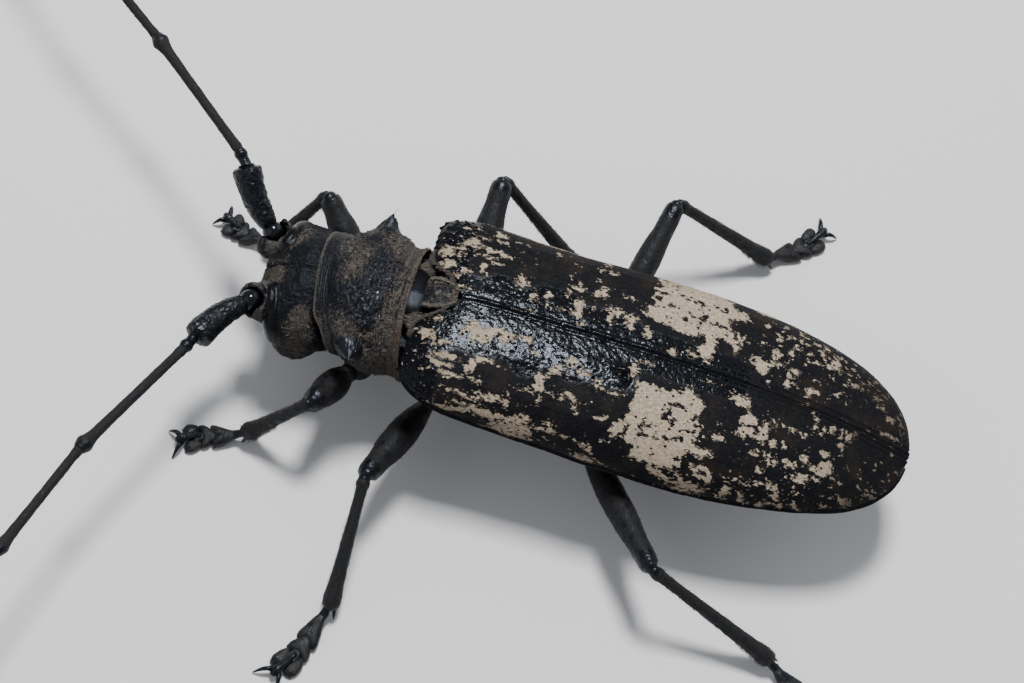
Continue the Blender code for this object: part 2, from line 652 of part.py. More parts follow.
def below_floor(middle):
    """A block under the floor, which cuts the soles flat."""
    corners = [(u * FOOT_LENGTH * 2, v * FOOT_LENGTH * 2) for u, v in ((1, 1), (-1, 1), (-1, -1), (1, -1))]
    return solid("floor", [
        [(middle.x + u, middle.y + v, height) for u, v in corners] for height in (-1.0, 0.0)
    ])


def feeler_joints(side, turns, heights):
    """The joints of a feeler from its socket outward."""
    joint = side_point(side, SOCKET)
    joints = [joint]
    for length, turn, height in zip(SEGMENT_LENGTHS, turns, heights):
        rise = height - joint.z
        level = math.sqrt(length * length - rise * rise)
        angle = math.radians(turn)
        joint = joint + Vector((side * level * math.cos(angle), -level * math.sin(angle), rise))
        joints.append(joint)
    return joints


def build_feeler(name, side, turns, heights):
    """Scape, small second segment and the knobbed segments of one feeler."""
    joints = feeler_joints(side, turns, heights)
    ahead = (joints[1] - joints[0]).normalized()
    stop = joints[1] - ahead * SCAPE_STOP
    centres = []
    for share, _ in SCAPE_RADII:
        centres.append(joints[0].lerp(stop, share) + scape_bow(side, ahead) * math.sin(math.pi * share))
    scape = tube(f"{name}_01", centres, [r for _, r in SCAPE_RADII])
    ahead = (joints[2] - joints[1]).normalized()
    knob = KNOB_RADII[1]
    small = limb("pedicel", joints[1] - ahead * knob, joints[2] - ahead * feeler_gap(2), (
        (0.0, SHAFT_RADII[1]), (PEDICEL_SHARES[0], SHAFT_RADII[1]), (PEDICEL_SHARES[1], knob),
        (1.0, knob * KNOB_END),
    ), sides=8)
    condyle = ball("condyle", joints[0], (CONDYLE_RADIUS,) * 3)
    finish(combine(scape, [condyle, small], "UNION"), "cuticle", joints[0])
    for k in range(2, len(SEGMENT_LENGTHS)):
        made = feeler_segment(name, joints, k)
        finish(made, "feeler", joints[k])


def scape_bow(side, ahead):
    """How far the scape bends forward and inward at its middle."""
    return Vector((side * ahead.y, -side * ahead.x, 0)).normalized() * SCAPE_BOW


def feeler_segment(name, joints, k):
    """One knobbed segment of a feeler, set back from its joints to keep the gaps."""
    shaft, knob = SHAFT_RADII[k], KNOB_RADII[k]
    ahead = (joints[k + 1] - joints[k]).normalized()
    start, stop = joints[k], joints[k + 1]
    start = start + ahead * feeler_gap(k)
    if k < len(SEGMENT_LENGTHS) - 1:
        stop = stop - ahead * feeler_gap(k + 1)
    flare = 1 - KNOB_SHARE / SEGMENT_LENGTHS[k]
    stations = (
        (0.0, shaft), (flare / 2, shaft), (flare, shaft * SHAFT_FLARE), (0.5 + flare / 2, knob),
        (1.0, knob * KNOB_END),
    )
    return limb(f"{name}_{k + 1:02d}", start, stop, stations, sides=8 if k < SLIM_FROM else 6)


def feeler_gap(k):
    """How far segments stop short of the joint before segment k."""
    return (END_ROUND * (KNOB_RADII[k - 1] * KNOB_END + SHAFT_RADII[k]) + GAP) / 2


def centre_on_floor():
    """Moves the whole beetle so that the middle of its box is over the origin."""
    corners = [
        made.matrix_world @ vertex.co
        for made in bpy.data.objects if made.type == "MESH" for vertex in made.data.vertices
    ]
    low = [min(c[i] for c in corners) for i in range(3)]
    high = [max(c[i] for c in corners) for i in range(3)]
    bpy.data.objects["beetle"].location = (
        -(low[0] + high[0]) / 2, -(low[1] + high[1]) / 2, -low[2],
    )


def main():
    """Builds every part of the beetle."""
    for old in list(bpy.data.objects):
        bpy.data.objects.remove(old)
    whole = bpy.data.objects.new("beetle", None)
    bpy.context.scene.collection.objects.link(whole)
    build_head()
    build_pronotum()
    build_scutellum()
    build_trunk()
    build_elytra()
    for leg in LEGS:
        build_leg(*leg)
    for feeler in FEELERS:
        build_feeler(*feeler)
    bpy.context.view_layer.update()
    centre_on_floor()


main()
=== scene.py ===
"""Dresses the longhorn beetle's solids: fine skins, marks, hair, light and camera.

Shapes are worked out in millimetres in the beetle's own frame: +X is its left, +Y runs to
its tail, +Z is up, the floor is at height 0 and the scutellum's tip is near (0, 0).
"""

import math

import bmesh
import bpy
import numpy as np
from mathutils import Matrix, Vector


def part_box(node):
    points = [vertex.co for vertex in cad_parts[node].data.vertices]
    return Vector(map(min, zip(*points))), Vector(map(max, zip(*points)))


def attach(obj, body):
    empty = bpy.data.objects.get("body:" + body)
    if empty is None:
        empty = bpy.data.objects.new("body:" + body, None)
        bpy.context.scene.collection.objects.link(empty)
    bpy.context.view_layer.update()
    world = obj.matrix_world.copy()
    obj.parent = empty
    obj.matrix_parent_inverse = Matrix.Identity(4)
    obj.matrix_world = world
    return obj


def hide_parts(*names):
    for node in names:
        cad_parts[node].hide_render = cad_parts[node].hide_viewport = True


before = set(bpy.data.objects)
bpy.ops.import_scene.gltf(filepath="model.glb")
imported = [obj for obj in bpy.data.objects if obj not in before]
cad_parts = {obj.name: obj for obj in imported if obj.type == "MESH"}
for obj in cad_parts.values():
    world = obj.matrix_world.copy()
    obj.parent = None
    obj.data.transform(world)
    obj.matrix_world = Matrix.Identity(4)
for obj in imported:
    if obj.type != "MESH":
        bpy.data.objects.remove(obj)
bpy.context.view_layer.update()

MM = 0.001
SIDES = (("left", 1), ("right", -1))
NOISE_SHIFT = 100.5  # keeps the places of the noise above 0

# Wing cases; outlines are (place along the body, value) stations here and below
ELYTRA_ROOT, ELYTRA_LENGTH, ELYTRA_POWER, SUTURE_HALF = -1.1, 35.4, 2.45, 0.06
ELYTRA_COLS, ELYTRA_ROWS, ELYTRA_TIP_ROWS = 150, 350, 14
ELYTRA_INSIDE, INSIDE_STEP = 0.34, 7
LIPS = ((4, 4), (3, 4))  # rows and columns that lips add before and after a case's sheet
HALF_WIDTH = (
    (-1.1, 6.05), (-0.8, 6.65), (-0.2, 7.05), (0.8, 7.4), (2.5, 7.65), (9.0, 7.65), (14.0, 7.85),
    (19.0, 7.85), (24.0, 7.5), (28.0, 6.8), (31.0, 5.9), (33.2, 4.65), (34.6, 3.1), (35.2, 1.8),
    (35.4, 1.0),
)
CREST = (
    (-1.1, 12.0), (-0.6, 12.4), (0.4, 12.75), (2.0, 13.0), (5.0, 13.1), (10.0, 13.1), (15.0, 13.0),
    (20.5, 12.65), (24.5, 12.15), (28.4, 11.4), (32.5, 10.1), (35.4, 8.9),
)
EDGE = (
    (-1.1, 11.0), (0.0, 10.5), (2.0, 9.9), (5.0, 9.3), (9.0, 8.9), (14.0, 8.65), (20.0, 8.5),
    (26.0, 8.55), (35.4, 8.35),
)
ROOT_HOLLOW, ROOT_FADE, ROOT_SHOULDER = 1.9, 4.0, 2.8
SCUTELLUM_HALF = ((-1.0, 1.15), (-0.4, 1.25), (0.4, 1.1), (0.9, 0.8), (1.2, 0.5), (1.35, 0.2))
SCUTELLUM_TOP = ((-1.0, 12.35), (0.0, 12.75), (1.35, 12.95))

# Trunk
BELLY = ((-2.0, 4.6), (3.0, 4.3), (8.0, 4.15), (13.0, 4.25), (20.0, 4.6), (28.0, 5.5), (33.9, 7.2))
BELLY_POWER = 2.2
UNDER_WINGS = 0.75
FORE_MOUND, FORE_MOUND_SIZE = (1.95, -1.35, 11.35), (0.8, 0.6, 0.5)
TRUNK_END, TRUNK_COLS = 33.9, 150
TRUNK_SEAMS = (3.0, 12.8, 17.6, 21.8, 25.8, 29.8)
NECK_FRONT, NECK_REAR, NECK_HEIGHT, NECK_HALF, NECK_DEEP = -4.2, -0.7, 7.95, 3.8, 2.95

# Pronotum
PRONOTUM_FRONT, PRONOTUM_REAR = -8.9, -2.25
PRONOTUM_TOP = (
    (-8.9, 11.1), (-8.1, 11.5), (-7.2, 12.05), (-5.6, 12.5), (-3.8, 12.5), (-3.0, 12.25),
    (-2.25, 12.35),
)
PRONOTUM_HALF = (
    (-8.9, 4.4), (-8.3, 4.55), (-7.7, 4.45), (-6.6, 5.0), (-5.0, 5.3), (-3.8, 4.95), (-3.0, 4.65),
    (-2.25, 4.95),
)
PRONOTUM_DEEP = ((-8.9, 6.1), (-7.0, 7.2), (-5.0, 7.8), (-2.25, 8.0))
PRONOTUM_TILT = ((-8.9, 24.0), (-2.25, 12.0))
PRONOTUM_POWER = 2.15
SPINE_ROOT, SPINE_TIP = (4.1, -5.6, 9.3), (6.2, -4.75, 10.9)
SPINE_WIDE = 1.35
PRONOTUM_ROWS, PRONOTUM_COLS = 190, 500

# Folds across the pronotum: height, place along and width
PRONOTUM_FOLDS = (
    (0.06, -8.75, 0.16), (-0.06, -8.05, 0.2), (-0.05, -7.55, 0.15), (-0.13, -2.5, 0.07),
    (0.06, -2.8, 0.16), (0.04, -2.25, 0.14),
)

# Patches on the pronotum and head: place across, place along, radius, strength of the down
PRONOTUM_PATCHES = (
    (-0.4, -6.4, 0.8, 0.7), (-3.2, -3.5, 1.1, 0.8), (3.4, -3.0, 0.9, 0.6), (4.2, -6.3, 0.9, 0.6),
    (1.2, -3.2, 0.5, 0.4), (2.4, -5.9, 1.3, -0.4), (-0.2, -8.2, 1.4, -0.6), (2.4, -8.0, 1.2, -0.5),
    (3.2, -4.6, 0.6, -1.0), (-3.2, -5.8, 0.6, -0.9), (0.9, -4.6, 1.2, -0.7), (2.3, -4.4, 1.0, -0.6),
    (-1.4, -4.6, 0.7, -0.5),
)
HEAD_PATCHES = (
    (-2.4, -10.9, 0.9, 0.5), (0.9, -11.4, 0.8, 0.5), (-0.6, -11.3, 0.7, 0.4), (3.4, -9.0, 0.8, 0.4),
    (4.4, -8.9, 1.0, 0.6), (-1.3, -9.7, 0.9, -0.9), (1.9, -9.7, 0.9, -0.9), (0.2, -9.3, 0.6, -0.7),
    (-3.4, -9.0, 0.7, -0.5), (3.5, -10.0, 0.6, -0.4),
)

# Head
FACE = (
    (3.9, -10.2), (4.6, -10.5), (6.0, -11.25), (7.6, -12.15), (8.9, -12.4), (9.9, -11.6),
    (10.6, -10.6), (10.95, -9.8),
)
HEAD_HALF = (
    (3.9, 2.3), (4.4, 2.6), (5.2, 3.2), (6.4, 4.2), (7.5, 4.85), (8.6, 4.75), (9.5, 4.1),
    (10.3, 2.95), (10.95, 1.6),
)
FACE_POWER, CHEEK_POWER = 2.3, 3.4
SOCKET, SOCKET_ROOT = (2.92, -12.7, 9.15), (2.1, -10.9, 8.3)
SOCKET_RADII = ((0.0, 1.575), (0.45, 1.5), (0.66, 1.38), (0.78, 1.26))
CONDYLE_RADIUS = 0.78
HEAD_VOXEL, HEAD_ROUNDS = 0.075, 5
TUBERCLE_LOBE, TUBERCLE_SIZE = (2.15, -12.65, 8.4), (1.0, 0.98, 0.95)
CHEEK_PATH = ((3.3, -10.0, 5.0), (3.75, -9.2, 5.9), (3.8, -8.2, 6.8), (3.7, -7.6, 7.4))
LIP_SHARES = ((0.0, 0.85), (0.2, 1.0), (0.7, 1.0), (0.9, 0.9), (1.0, 0.7))
JAW_PATH = ((0.98, -8.85, 4.3), (1.05, -8.95, 3.2), (0.85, -9.2, 2.5), (0.42, -9.4, 2.0))
JAW_RADII = ((0.0, 0.66), (0.4, 0.62), (0.75, 0.44), (1.0, 0.12))
PALP_PATH = (
    (2.0, -7.6, 4.4), (2.1, -7.7, 3.75), (2.45, -8.1, 3.0), (2.35, -8.7, 2.4), (1.95, -9.2, 2.0),
)
EYE_PATH = (
    (1.9, -11.45, 10.1), (2.6, -11.2, 9.95), (3.4, -11.1, 9.6), (3.95, -10.95, 9.1),
    (4.3, -10.7, 8.2), (4.3, -10.6, 7.4),
)
EYE_HALF = (0.3, 0.36, 0.46, 0.55, 0.75, 0.8)

# Legs: name, side, hip, knee, ankle, toe and sideways bend of the foot
FORE_HIP, MID_HIP, HIND_HIP = (2.5, -4.2, 3.5), (2.5, 2.0, 3.45), (2.3, 12.0, 3.4)
LEGS = (
    ("foreleg_left", 1, FORE_HIP, (8.7, -6.5, 7.8), (9.15, -10.6, 1.15), (11.3, -15.6), 0.3),
    ("foreleg_right", -1, FORE_HIP, (-8.0, -9.9, 7.6), (-6.1, -13.3, 1.15), (-8.1, -17.5), -0.2),
    ("midleg_left", 1, MID_HIP, (12.4, -1.4, 6.5), (20.4, -1.2, 1.15), (26.7, -4.1), -0.35),
    ("midleg_right", -1, MID_HIP, (-13.35, 2.1, 7.8), (-11.8, 9.3, 1.15), (-10.6, 15.6), 0.4),
    ("hindleg_left", 1, HIND_HIP, (13.35, 19.65, 7.0), (14.9, 30.0, 1.15), (18.9, 35.2), -0.3),
    ("hindleg_right", -1, HIND_HIP, (-15.2, 15.0, 8.5), (-17.25, 23.3, 1.15), (-22.1, 27.4), 0.4),
)
HIP_RADIUS, TROCHANTER_REACH = 1.15, 1.9
FEMUR_RADII = (
    (0.0, 0.5), (0.08, 0.62), (0.2, 0.82), (0.4, 1.0), (0.6, 0.97), (0.83, 0.76), (0.93, 0.74),
    (0.985, 0.66), (1.0, 0.5),
)
FEMUR_STOUT = {"foreleg": 1.1, "midleg": 1.1, "hindleg": 1.0}
TIBIA_RADII = (
    (0.0, 0.42), (0.035, 0.5), (0.08, 0.42), (0.14, 0.4), (0.5, 0.46), (0.8, 0.54), (0.95, 0.66),
    (0.99, 0.6), (1.0, 0.46),
)
FOOT_LENGTH, FOOT_START = 6.3, 1.11
TROCHANTER_RADII = ((0.0, 0.8), (0.6, 0.68), (0.85, 0.72), (1.0, 0.6))
SPUR_RADII = ((0.0, 0.17), (0.6, 0.12), (1.0, 0.03))
ANKLE_RADII = ((0.0, 0.36), (0.5, 0.3), (1.0, 0.34))
CLAW_SEGMENT_RADII = ((0.0, 0.2), (0.5, 0.24), (0.85, 0.36), (1.0, 0.28))
LEG_SEED = 200

# Segments of a foot: depth of the notch at the end, then place along, half width, bottom and top
FOOT_SEGMENTS = (
    (0.35, ((-0.75, 0.3, 0.75, 1.3), (-0.3, 0.34, 0.6, 1.2), (0.2, 0.48, 0.3, 1.15),
            (0.9, 0.7, 0.02, 1.02), (1.55, 0.86, 0.0, 0.9), (1.75, 0.8, 0.04, 0.8),
            (1.85, 0.6, 0.2, 0.65))),
    (0.35, ((1.3, 0.34, 0.2, 0.72), (1.9, 0.5, 0.05, 0.8), (2.6, 0.88, 0.0, 0.82),
            (2.9, 0.9, 0.02, 0.76), (3.05, 0.66, 0.2, 0.6))),
    (0.0, ((2.6, 0.3, 0.15, 0.62), (3.2, 0.5, 0.05, 0.7), (3.7, 0.62, 0.02, 0.72),
           (4.0, 0.4, 0.1, 0.6))),
)
FOOT_LOBE = (
    (3.2, 0.22, 0.06, 0.6), (3.7, 0.42, 0.0, 0.68), (4.3, 0.5, 0.0, 0.66), (4.75, 0.36, 0.02, 0.5),
    (4.9, 0.16, 0.1, 0.35),
)

# Feelers: length of each segment, its turn in plan and its height at the far end
SEGMENT_LENGTHS = (5.53, 0.8, 10.95, 9.6, 8.2, 7.2, 6.4, 5.8, 5.2, 4.6, 4.6)
SCAPE_RADII = (
    (0.0, 0.42), (0.06, 0.5), (0.12, 0.66), (0.38, 0.86), (0.7, 0.97), (0.9, 1.04), (0.95, 1.02),
    (0.985, 0.8), (1.0, 0.55),
)
SCAPE_STOP, SCAPE_BOW = 0.45, 0.3
PEDICEL_RADII = ((0.0, 0.4), (0.45, 0.4), (0.8, 0.5), (1.0, 0.42))
SHAFT_RADII = (0.62, 0.42, 0.36, 0.34, 0.32, 0.31, 0.3, 0.29, 0.28, 0.27, 0.26)
KNOB_RADII = (0.98, 0.5, 0.64, 0.56, 0.48, 0.44, 0.4, 0.38, 0.36, 0.34, 0.16)
KNOB_LENGTH = 1.6
FEELERS = (
    ("antenna_left", 1,
     (33.1, 20.0, 23.4, 16.5, 10.0, 2.0, -7.0, -17.0, -28.0, -39.0, -51.0),
     (9.5, 9.6, 10.7, 11.55, 12.1, 12.3, 12.2, 11.7, 11.0, 10.1, 9.2)),
    ("antenna_right", -1,
     (44.9, 45.7, 49.2, 53.0, 47.0, 39.0, 29.0, 18.0, 6.0, -6.0, -18.0),
     (11.95, 12.2, 12.3, 12.75, 12.9, 12.8, 12.4, 11.8, 11.0, 10.1, 9.2)),
)

# Pale marks, and dark gaps in them, as ellipses: place along the body, arc from the suture,
# half length, half width and, where it isn't 0, turn in degrees
MARKS_LEFT = (
    (-0.1, 3.3, 0.5, 0.45), (1.0, 3.8, 0.6, 0.25), (1.7, 4.6, 1.2, 0.3), (0.6, 5.0, 0.5, 0.25),
    (1.6, 5.2, 0.9, 0.2), (2.2, 5.8, 0.9, 0.2), (0.3, 2.0, 0.3, 0.2), (2.9, 2.5, 0.8, 0.55),
    (4.0, 2.3, 1.0, 0.4), (5.2, 2.0, 0.9, 0.33), (5.2, 2.6, 0.25, 0.4), (3.7, 2.9, 0.7, 0.25),
    (2.9, 1.8, 0.3, 0.3), (6.8, 1.9, 0.42, 0.33), (7.6, 2.7, 0.3, 0.12), (4.2, 4.25, 0.9, 0.28),
    (3.5, 4.6, 0.3, 0.4), (3.3, 5.1, 0.32, 0.5), (4.15, 3.5, 0.1, 0.4), (4.1, 5.9, 0.5, 0.16),
    (8.55, 4.3, 0.5, 0.4), (9.3, 3.7, 0.6, 0.22), (9.6, 3.2, 0.3, 0.25), (10.3, 2.5, 0.5, 0.3),
    (11.1, 3.2, 0.5, 0.22), (10.3, 3.0, 0.3, 0.15), (8.5, 5.05, 0.5, 0.32), (9.3, 5.25, 0.8, 0.1),
    (10.5, 5.0, 0.5, 0.26), (11.1, 5.5, 0.3, 0.35), (11.35, 6.0, 0.15, 0.25), (7.4, 5.5, 0.3, 0.1),
    (8.6, 6.0, 0.12, 0.2), (5.2, 6.7, 1.2, 0.18, -6), (3.5, 7.0, 1.0, 0.14), (6.4, 6.7, 0.2, 0.45),
    (5.9, 6.4, 0.3, 0.2), (4.2, 7.5, 1.2, 0.13, -8), (3.2, 8.15, 1.9, 0.22, -6),
    (6.0, 7.85, 2.6, 0.3), (7.4, 8.4, 1.7, 0.5), (7.3, 9.1, 1.7, 0.38), (8.2, 7.3, 0.5, 0.22, 20),
    (9.6, 7.75, 1.1, 0.15, 6), (9.9, 7.2, 0.3, 0.2), (11.2, 7.9, 0.8, 0.09), (10.0, 8.5, 0.15, 0.1),
    (12.4, 3.6, 0.35, 0.32), (13.3, 3.85, 0.7, 0.14), (14.6, 1.6, 0.35, 0.5),
    (15.3, 0.9, 0.6, 0.16), (14.6, 2.1, 0.3, 0.3), (17.35, 5.2, 2.5, 2.75), (16.0, 3.1, 1.1, 0.7),
    (18.9, 2.8, 1.0, 0.8), (18.6, 2.1, 0.4, 0.4), (20.0, 5.9, 1.5, 0.45), (20.0, 4.9, 0.5, 0.5),
    (14.6, 6.3, 0.42, 0.7), (13.9, 7.3, 0.4, 0.09, -15), (21.1, 7.4, 0.8, 0.6),
    (18.6, 8.3, 1.3, 0.6), (20.3, 8.7, 1.3, 0.4), (20.0, 9.4, 0.9, 0.3),
    (21.5, 4.5, 0.6, 0.36, -15), (22.9, 8.3, 0.4, 0.6, 20), (24.4, 8.3, 0.32, 0.6, -15),
    (12.6, 8.15, 0.5, 0.22), (13.2, 9.3, 1.0, 0.33), (12.5, 8.9, 0.4, 0.08),
    (13.1, 5.8, 0.36, 0.18), (12.0, 5.0, 0.2, 0.2), (22.5, 1.45, 0.85, 0.5), (23.3, 2.6, 0.65, 0.6),
    (23.5, 3.6, 0.85, 0.45), (24.6, 3.2, 0.33, 0.85), (25.1, 2.3, 0.4, 0.14),
    (25.4, 3.75, 0.28, 0.33), (20.2, 0.9, 0.35, 0.12), (24.3, 4.9, 0.25, 0.25),
    (25.0, 4.7, 0.2, 0.2), (25.45, 4.9, 0.14, 0.33), (26.0, 4.7, 0.2, 0.25), (26.9, 4.5, 0.4, 0.28),
    (24.9, 5.8, 0.15, 0.2), (27.9, 3.9, 0.36, 0.26), (28.5, 4.2, 0.5, 0.3),
    (29.4, 4.0, 0.8, 0.42, -15), (29.9, 3.5, 0.28, 0.3), (28.0, 5.2, 0.7, 0.34, -10),
    (28.8, 4.9, 0.4, 0.14), (29.25, 2.9, 0.26, 0.3), (27.9, 0.9, 0.18, 0.55),
    (28.6, 1.3, 0.18, 0.3), (29.3, 0.95, 0.24, 0.4), (30.2, 0.9, 0.2, 0.45), (30.8, 0.9, 0.2, 0.3),
    (31.2, 0.4, 0.25, 0.16), (30.4, 1.8, 0.2, 0.3), (26.5, 2.25, 0.5, 0.1), (27.0, 2.3, 0.4, 0.12),
    (23.9, 6.95, 0.7, 0.07, -6), (25.3, 6.65, 0.8, 0.1), (26.0, 6.7, 0.5, 0.2, 25),
    (26.6, 7.2, 0.35, 0.3, 45), (27.0, 7.8, 0.22, 0.4), (25.7, 8.5, 0.3, 0.5),
    (28.2, 7.4, 0.42, 0.18, 25), (29.9, 6.5, 0.35, 0.18), (31.6, 5.5, 0.5, 0.24),
    (33.2, 3.8, 0.5, 0.1, -20), (33.0, 4.4, 0.6, 0.12, -30),
)
DARKS_LEFT = (
    (2.6, 2.75, 0.25, 0.18), (4.6, 2.75, 0.25, 0.35), (18.1, 3.4, 0.4, 0.16),
    (17.7, 4.4, 0.2, 0.33), (18.2, 4.8, 0.1, 0.18), (19.3, 3.7, 0.11, 0.24),
    (19.2, 4.9, 0.14, 0.14), (19.6, 4.9, 0.11, 0.14), (20.0, 4.3, 0.5, 0.1), (20.3, 4.9, 0.25, 0.5),
    (16.4, 5.25, 0.24, 0.1), (17.2, 5.5, 0.07, 0.14), (18.0, 5.8, 0.2, 0.12),
    (18.6, 5.7, 0.1, 0.14), (19.1, 5.7, 0.1, 0.14), (16.1, 5.8, 0.07, 0.24),
    (16.5, 6.05, 0.24, 0.07), (17.5, 6.05, 0.3, 0.05), (19.2, 6.9, 0.2, 0.12),
    (17.5, 7.15, 0.08, 0.1), (17.3, 3.9, 0.07, 0.18), (18.8, 8.1, 0.6, 0.2), (19.4, 8.5, 0.28, 0.2),
    (20.7, 8.1, 0.4, 0.28), (21.2, 7.35, 0.24, 0.09), (15.3, 7.4, 0.6, 0.6), (15.1, 6.2, 0.12, 0.4),
    (20.9, 6.6, 0.35, 0.3), (16.6, 2.2, 0.5, 0.2), (24.1, 2.9, 0.14, 0.35), (28.9, 4.6, 0.5, 0.09),
)
MARKS_RIGHT = (
    (1.5, 5.6, 0.5, 0.16), (2.3, 5.6, 0.4, 0.1), (3.4, 5.6, 0.4, 0.18), (3.2, 6.4, 0.4, 0.36),
    (4.6, 6.2, 0.3, 0.18, 30), (5.3, 6.3, 0.2, 0.2), (2.6, 4.5, 1.5, 0.24), (1.3, 4.7, 0.6, 0.45),
    (0.8, 4.0, 0.2, 0.5), (3.6, 4.4, 0.5, 0.2), (2.4, 3.9, 0.6, 0.1), (3.4, 3.55, 0.5, 0.2),
    (-0.3, 3.7, 0.5, 0.6), (0.1, 2.5, 0.45, 0.48), (0.6, 1.55, 0.35, 0.2), (1.2, 2.2, 0.35, 0.14),
    (1.6, 2.0, 0.25, 0.12), (2.5, 2.8, 0.22, 0.55), (2.7, 2.3, 0.2, 0.15), (5.3, 2.6, 0.28, 0.48),
    (5.2, 2.2, 0.25, 0.15), (5.9, 2.4, 0.2, 0.2), (6.45, 1.6, 0.3, 0.34), (6.6, 1.25, 0.35, 0.18),
    (5.5, 1.7, 0.14, 0.2), (7.5, 1.9, 0.34, 0.34), (7.55, 1.4, 0.1, 0.3), (8.7, 2.7, 0.2, 0.34),
    (9.5, 3.3, 0.5, 0.22), (9.4, 3.8, 0.14, 0.2), (8.8, 4.2, 0.1, 0.14), (10.9, 3.5, 0.6, 0.36),
    (11.2, 3.9, 0.28, 0.3), (9.8, 1.9, 0.3, 0.6), (9.0, 1.15, 0.9, 0.1), (9.8, 1.3, 0.5, 0.26),
    (10.2, 0.7, 0.35, 0.24), (6.1, 4.7, 0.1, 0.22), (10.6, 4.6, 0.15, 0.1),
    (7.5, 6.2, 0.3, 0.2, 30), (8.8, 5.7, 0.25, 0.14), (10.6, 5.9, 0.24, 0.2),
    (11.5, 5.9, 0.38, 0.28), (11.9, 1.7, 0.28, 0.34), (10.8, 1.9, 0.09, 0.24),
    (1.8, 0.75, 0.7, 0.12), (6.4, 0.5, 0.4, 0.12), (17.7, 6.2, 3.0, 3.9), (15.2, 3.2, 0.9, 0.6),
    (19.3, 1.9, 0.6, 1.35), (20.9, 3.3, 0.9, 0.6), (21.2, 2.4, 0.3, 0.4), (20.9, 5.6, 0.7, 0.5),
    (21.0, 9.3, 0.6, 0.5), (12.3, 2.4, 0.6, 0.34), (13.3, 2.2, 0.7, 0.32), (13.4, 1.5, 0.4, 0.28),
    (12.0, 1.5, 0.24, 0.3), (13.2, 3.9, 0.5, 0.12), (14.9, 1.4, 0.3, 0.34), (16.9, 0.6, 0.35, 0.22),
    (18.3, 0.9, 0.5, 0.26), (23.3, 1.8, 0.6, 0.5), (22.9, 2.1, 0.4, 0.2), (24.2, 2.35, 0.55, 0.22),
    (24.2, 3.15, 0.45, 0.36), (22.9, 8.0, 0.8, 0.9), (23.2, 5.55, 0.15, 0.2),
    (23.1, 3.7, 0.2, 0.18), (25.4, 1.1, 0.3, 0.36), (25.5, 1.9, 0.18, 0.5), (25.8, 2.3, 0.34, 0.18),
    (25.9, 1.2, 0.2, 0.2), (27.2, 1.3, 0.6, 0.28), (27.1, 0.8, 0.2, 0.2), (27.5, 2.2, 0.4, 0.1),
    (28.6, 3.0, 0.2, 0.14), (29.3, 1.9, 0.34, 0.1, 30), (28.6, 4.5, 0.5, 0.5),
    (28.2, 4.1, 0.4, 0.28), (27.5, 4.8, 0.2, 0.4), (28.9, 4.1, 0.4, 0.18), (27.4, 3.85, 0.5, 0.09),
    (25.7, 4.4, 0.24, 0.28), (26.5, 4.4, 0.2, 0.18), (25.3, 3.6, 0.2, 0.3), (24.4, 4.8, 0.3, 0.28),
    (25.1, 5.5, 0.2, 0.14), (25.9, 5.4, 0.18, 0.3), (26.4, 5.2, 0.2, 0.1), (24.7, 6.3, 0.24, 0.18),
    (25.9, 6.3, 0.14, 0.28), (27.2, 5.8, 0.3, 0.18), (27.8, 5.7, 0.3, 0.24), (28.9, 5.4, 0.3, 0.14),
    (30.5, 3.3, 0.5, 0.18, 15), (32.0, 3.1, 0.4, 0.14), (32.8, 2.6, 0.24, 0.2),
    (33.5, 2.0, 0.28, 0.28), (33.6, 0.7, 0.7, 0.12), (34.3, 2.3, 0.13, 0.28),
    (29.8, 4.1, 0.3, 0.14), (24.1, 0.6, 0.28, 0.28), (3.2, 8.2, 1.9, 0.22), (6.2, 7.9, 2.6, 0.3),
    (7.6, 8.6, 1.6, 0.45), (11.2, 7.6, 0.3, 0.8), (12.9, 9.2, 1.0, 0.3), (25.2, 8.2, 0.4, 0.5),
    (27.4, 7.5, 0.5, 0.3),
)
DARKS_RIGHT = (
    (15.2, 4.6, 0.2, 0.24), (16.2, 4.3, 0.15, 0.1), (17.5, 3.4, 0.15, 0.15), (17.5, 4.2, 0.1, 0.08),
    (16.5, 5.8, 0.2, 0.14), (17.2, 5.7, 0.1, 0.1), (17.9, 5.6, 0.2, 0.1), (18.2, 5.5, 0.14, 0.2),
    (19.1, 5.7, 0.1, 0.1), (19.6, 5.5, 0.1, 0.1), (20.0, 5.7, 0.12, 0.24), (18.6, 4.2, 0.24, 0.3),
    (18.4, 3.6, 0.11, 0.3), (18.4, 4.7, 0.11, 0.14), (15.2, 5.3, 0.3, 0.09), (16.4, 7.0, 0.1, 0.24),
    (15.4, 7.4, 0.1, 0.4), (18.5, 2.2, 0.32, 0.6), (19.8, 3.9, 0.8, 0.05), (21.05, 3.5, 0.22, 0.28),
    (20.3, 2.2, 0.4, 0.4), (14.7, 4.2, 0.3, 0.4), (14.8, 6.0, 0.3, 0.3), (12.5, 2.7, 0.2, 0.15),
    (24.1, 3.0, 0.1, 0.3), (21.3, 4.4, 0.6, 0.3), (20.4, 8.0, 0.3, 0.5), (15.4, 9.2, 0.2, 0.3),
)

# Colours
SHEEN = (0.78, 0.86, 1.0, 1.0)
BLACK = (0.0024, 0.0026, 0.0034)
BROWN = (0.0105, 0.0084, 0.007)
PALE, PALE_DIM = (0.43, 0.355, 0.27), (0.23, 0.185, 0.135)
OCHRE, OCHRE_DIM = (0.115, 0.098, 0.08), (0.017, 0.0155, 0.0142)
GREY = (0.062, 0.062, 0.06)

# Hair: how many tufts lie on each skin, and their widths
MARK_HAIRS, HEAD_HAIRS, PRONOTUM_HAIRS = 7000, 9500, 12000
MARK_WIDE, DOWN_WIDE, FRINGE_WIDE, LIMB_WIDE, FEELER_WIDE = 0.009, 0.0065, 0.014, 0.009, 0.008

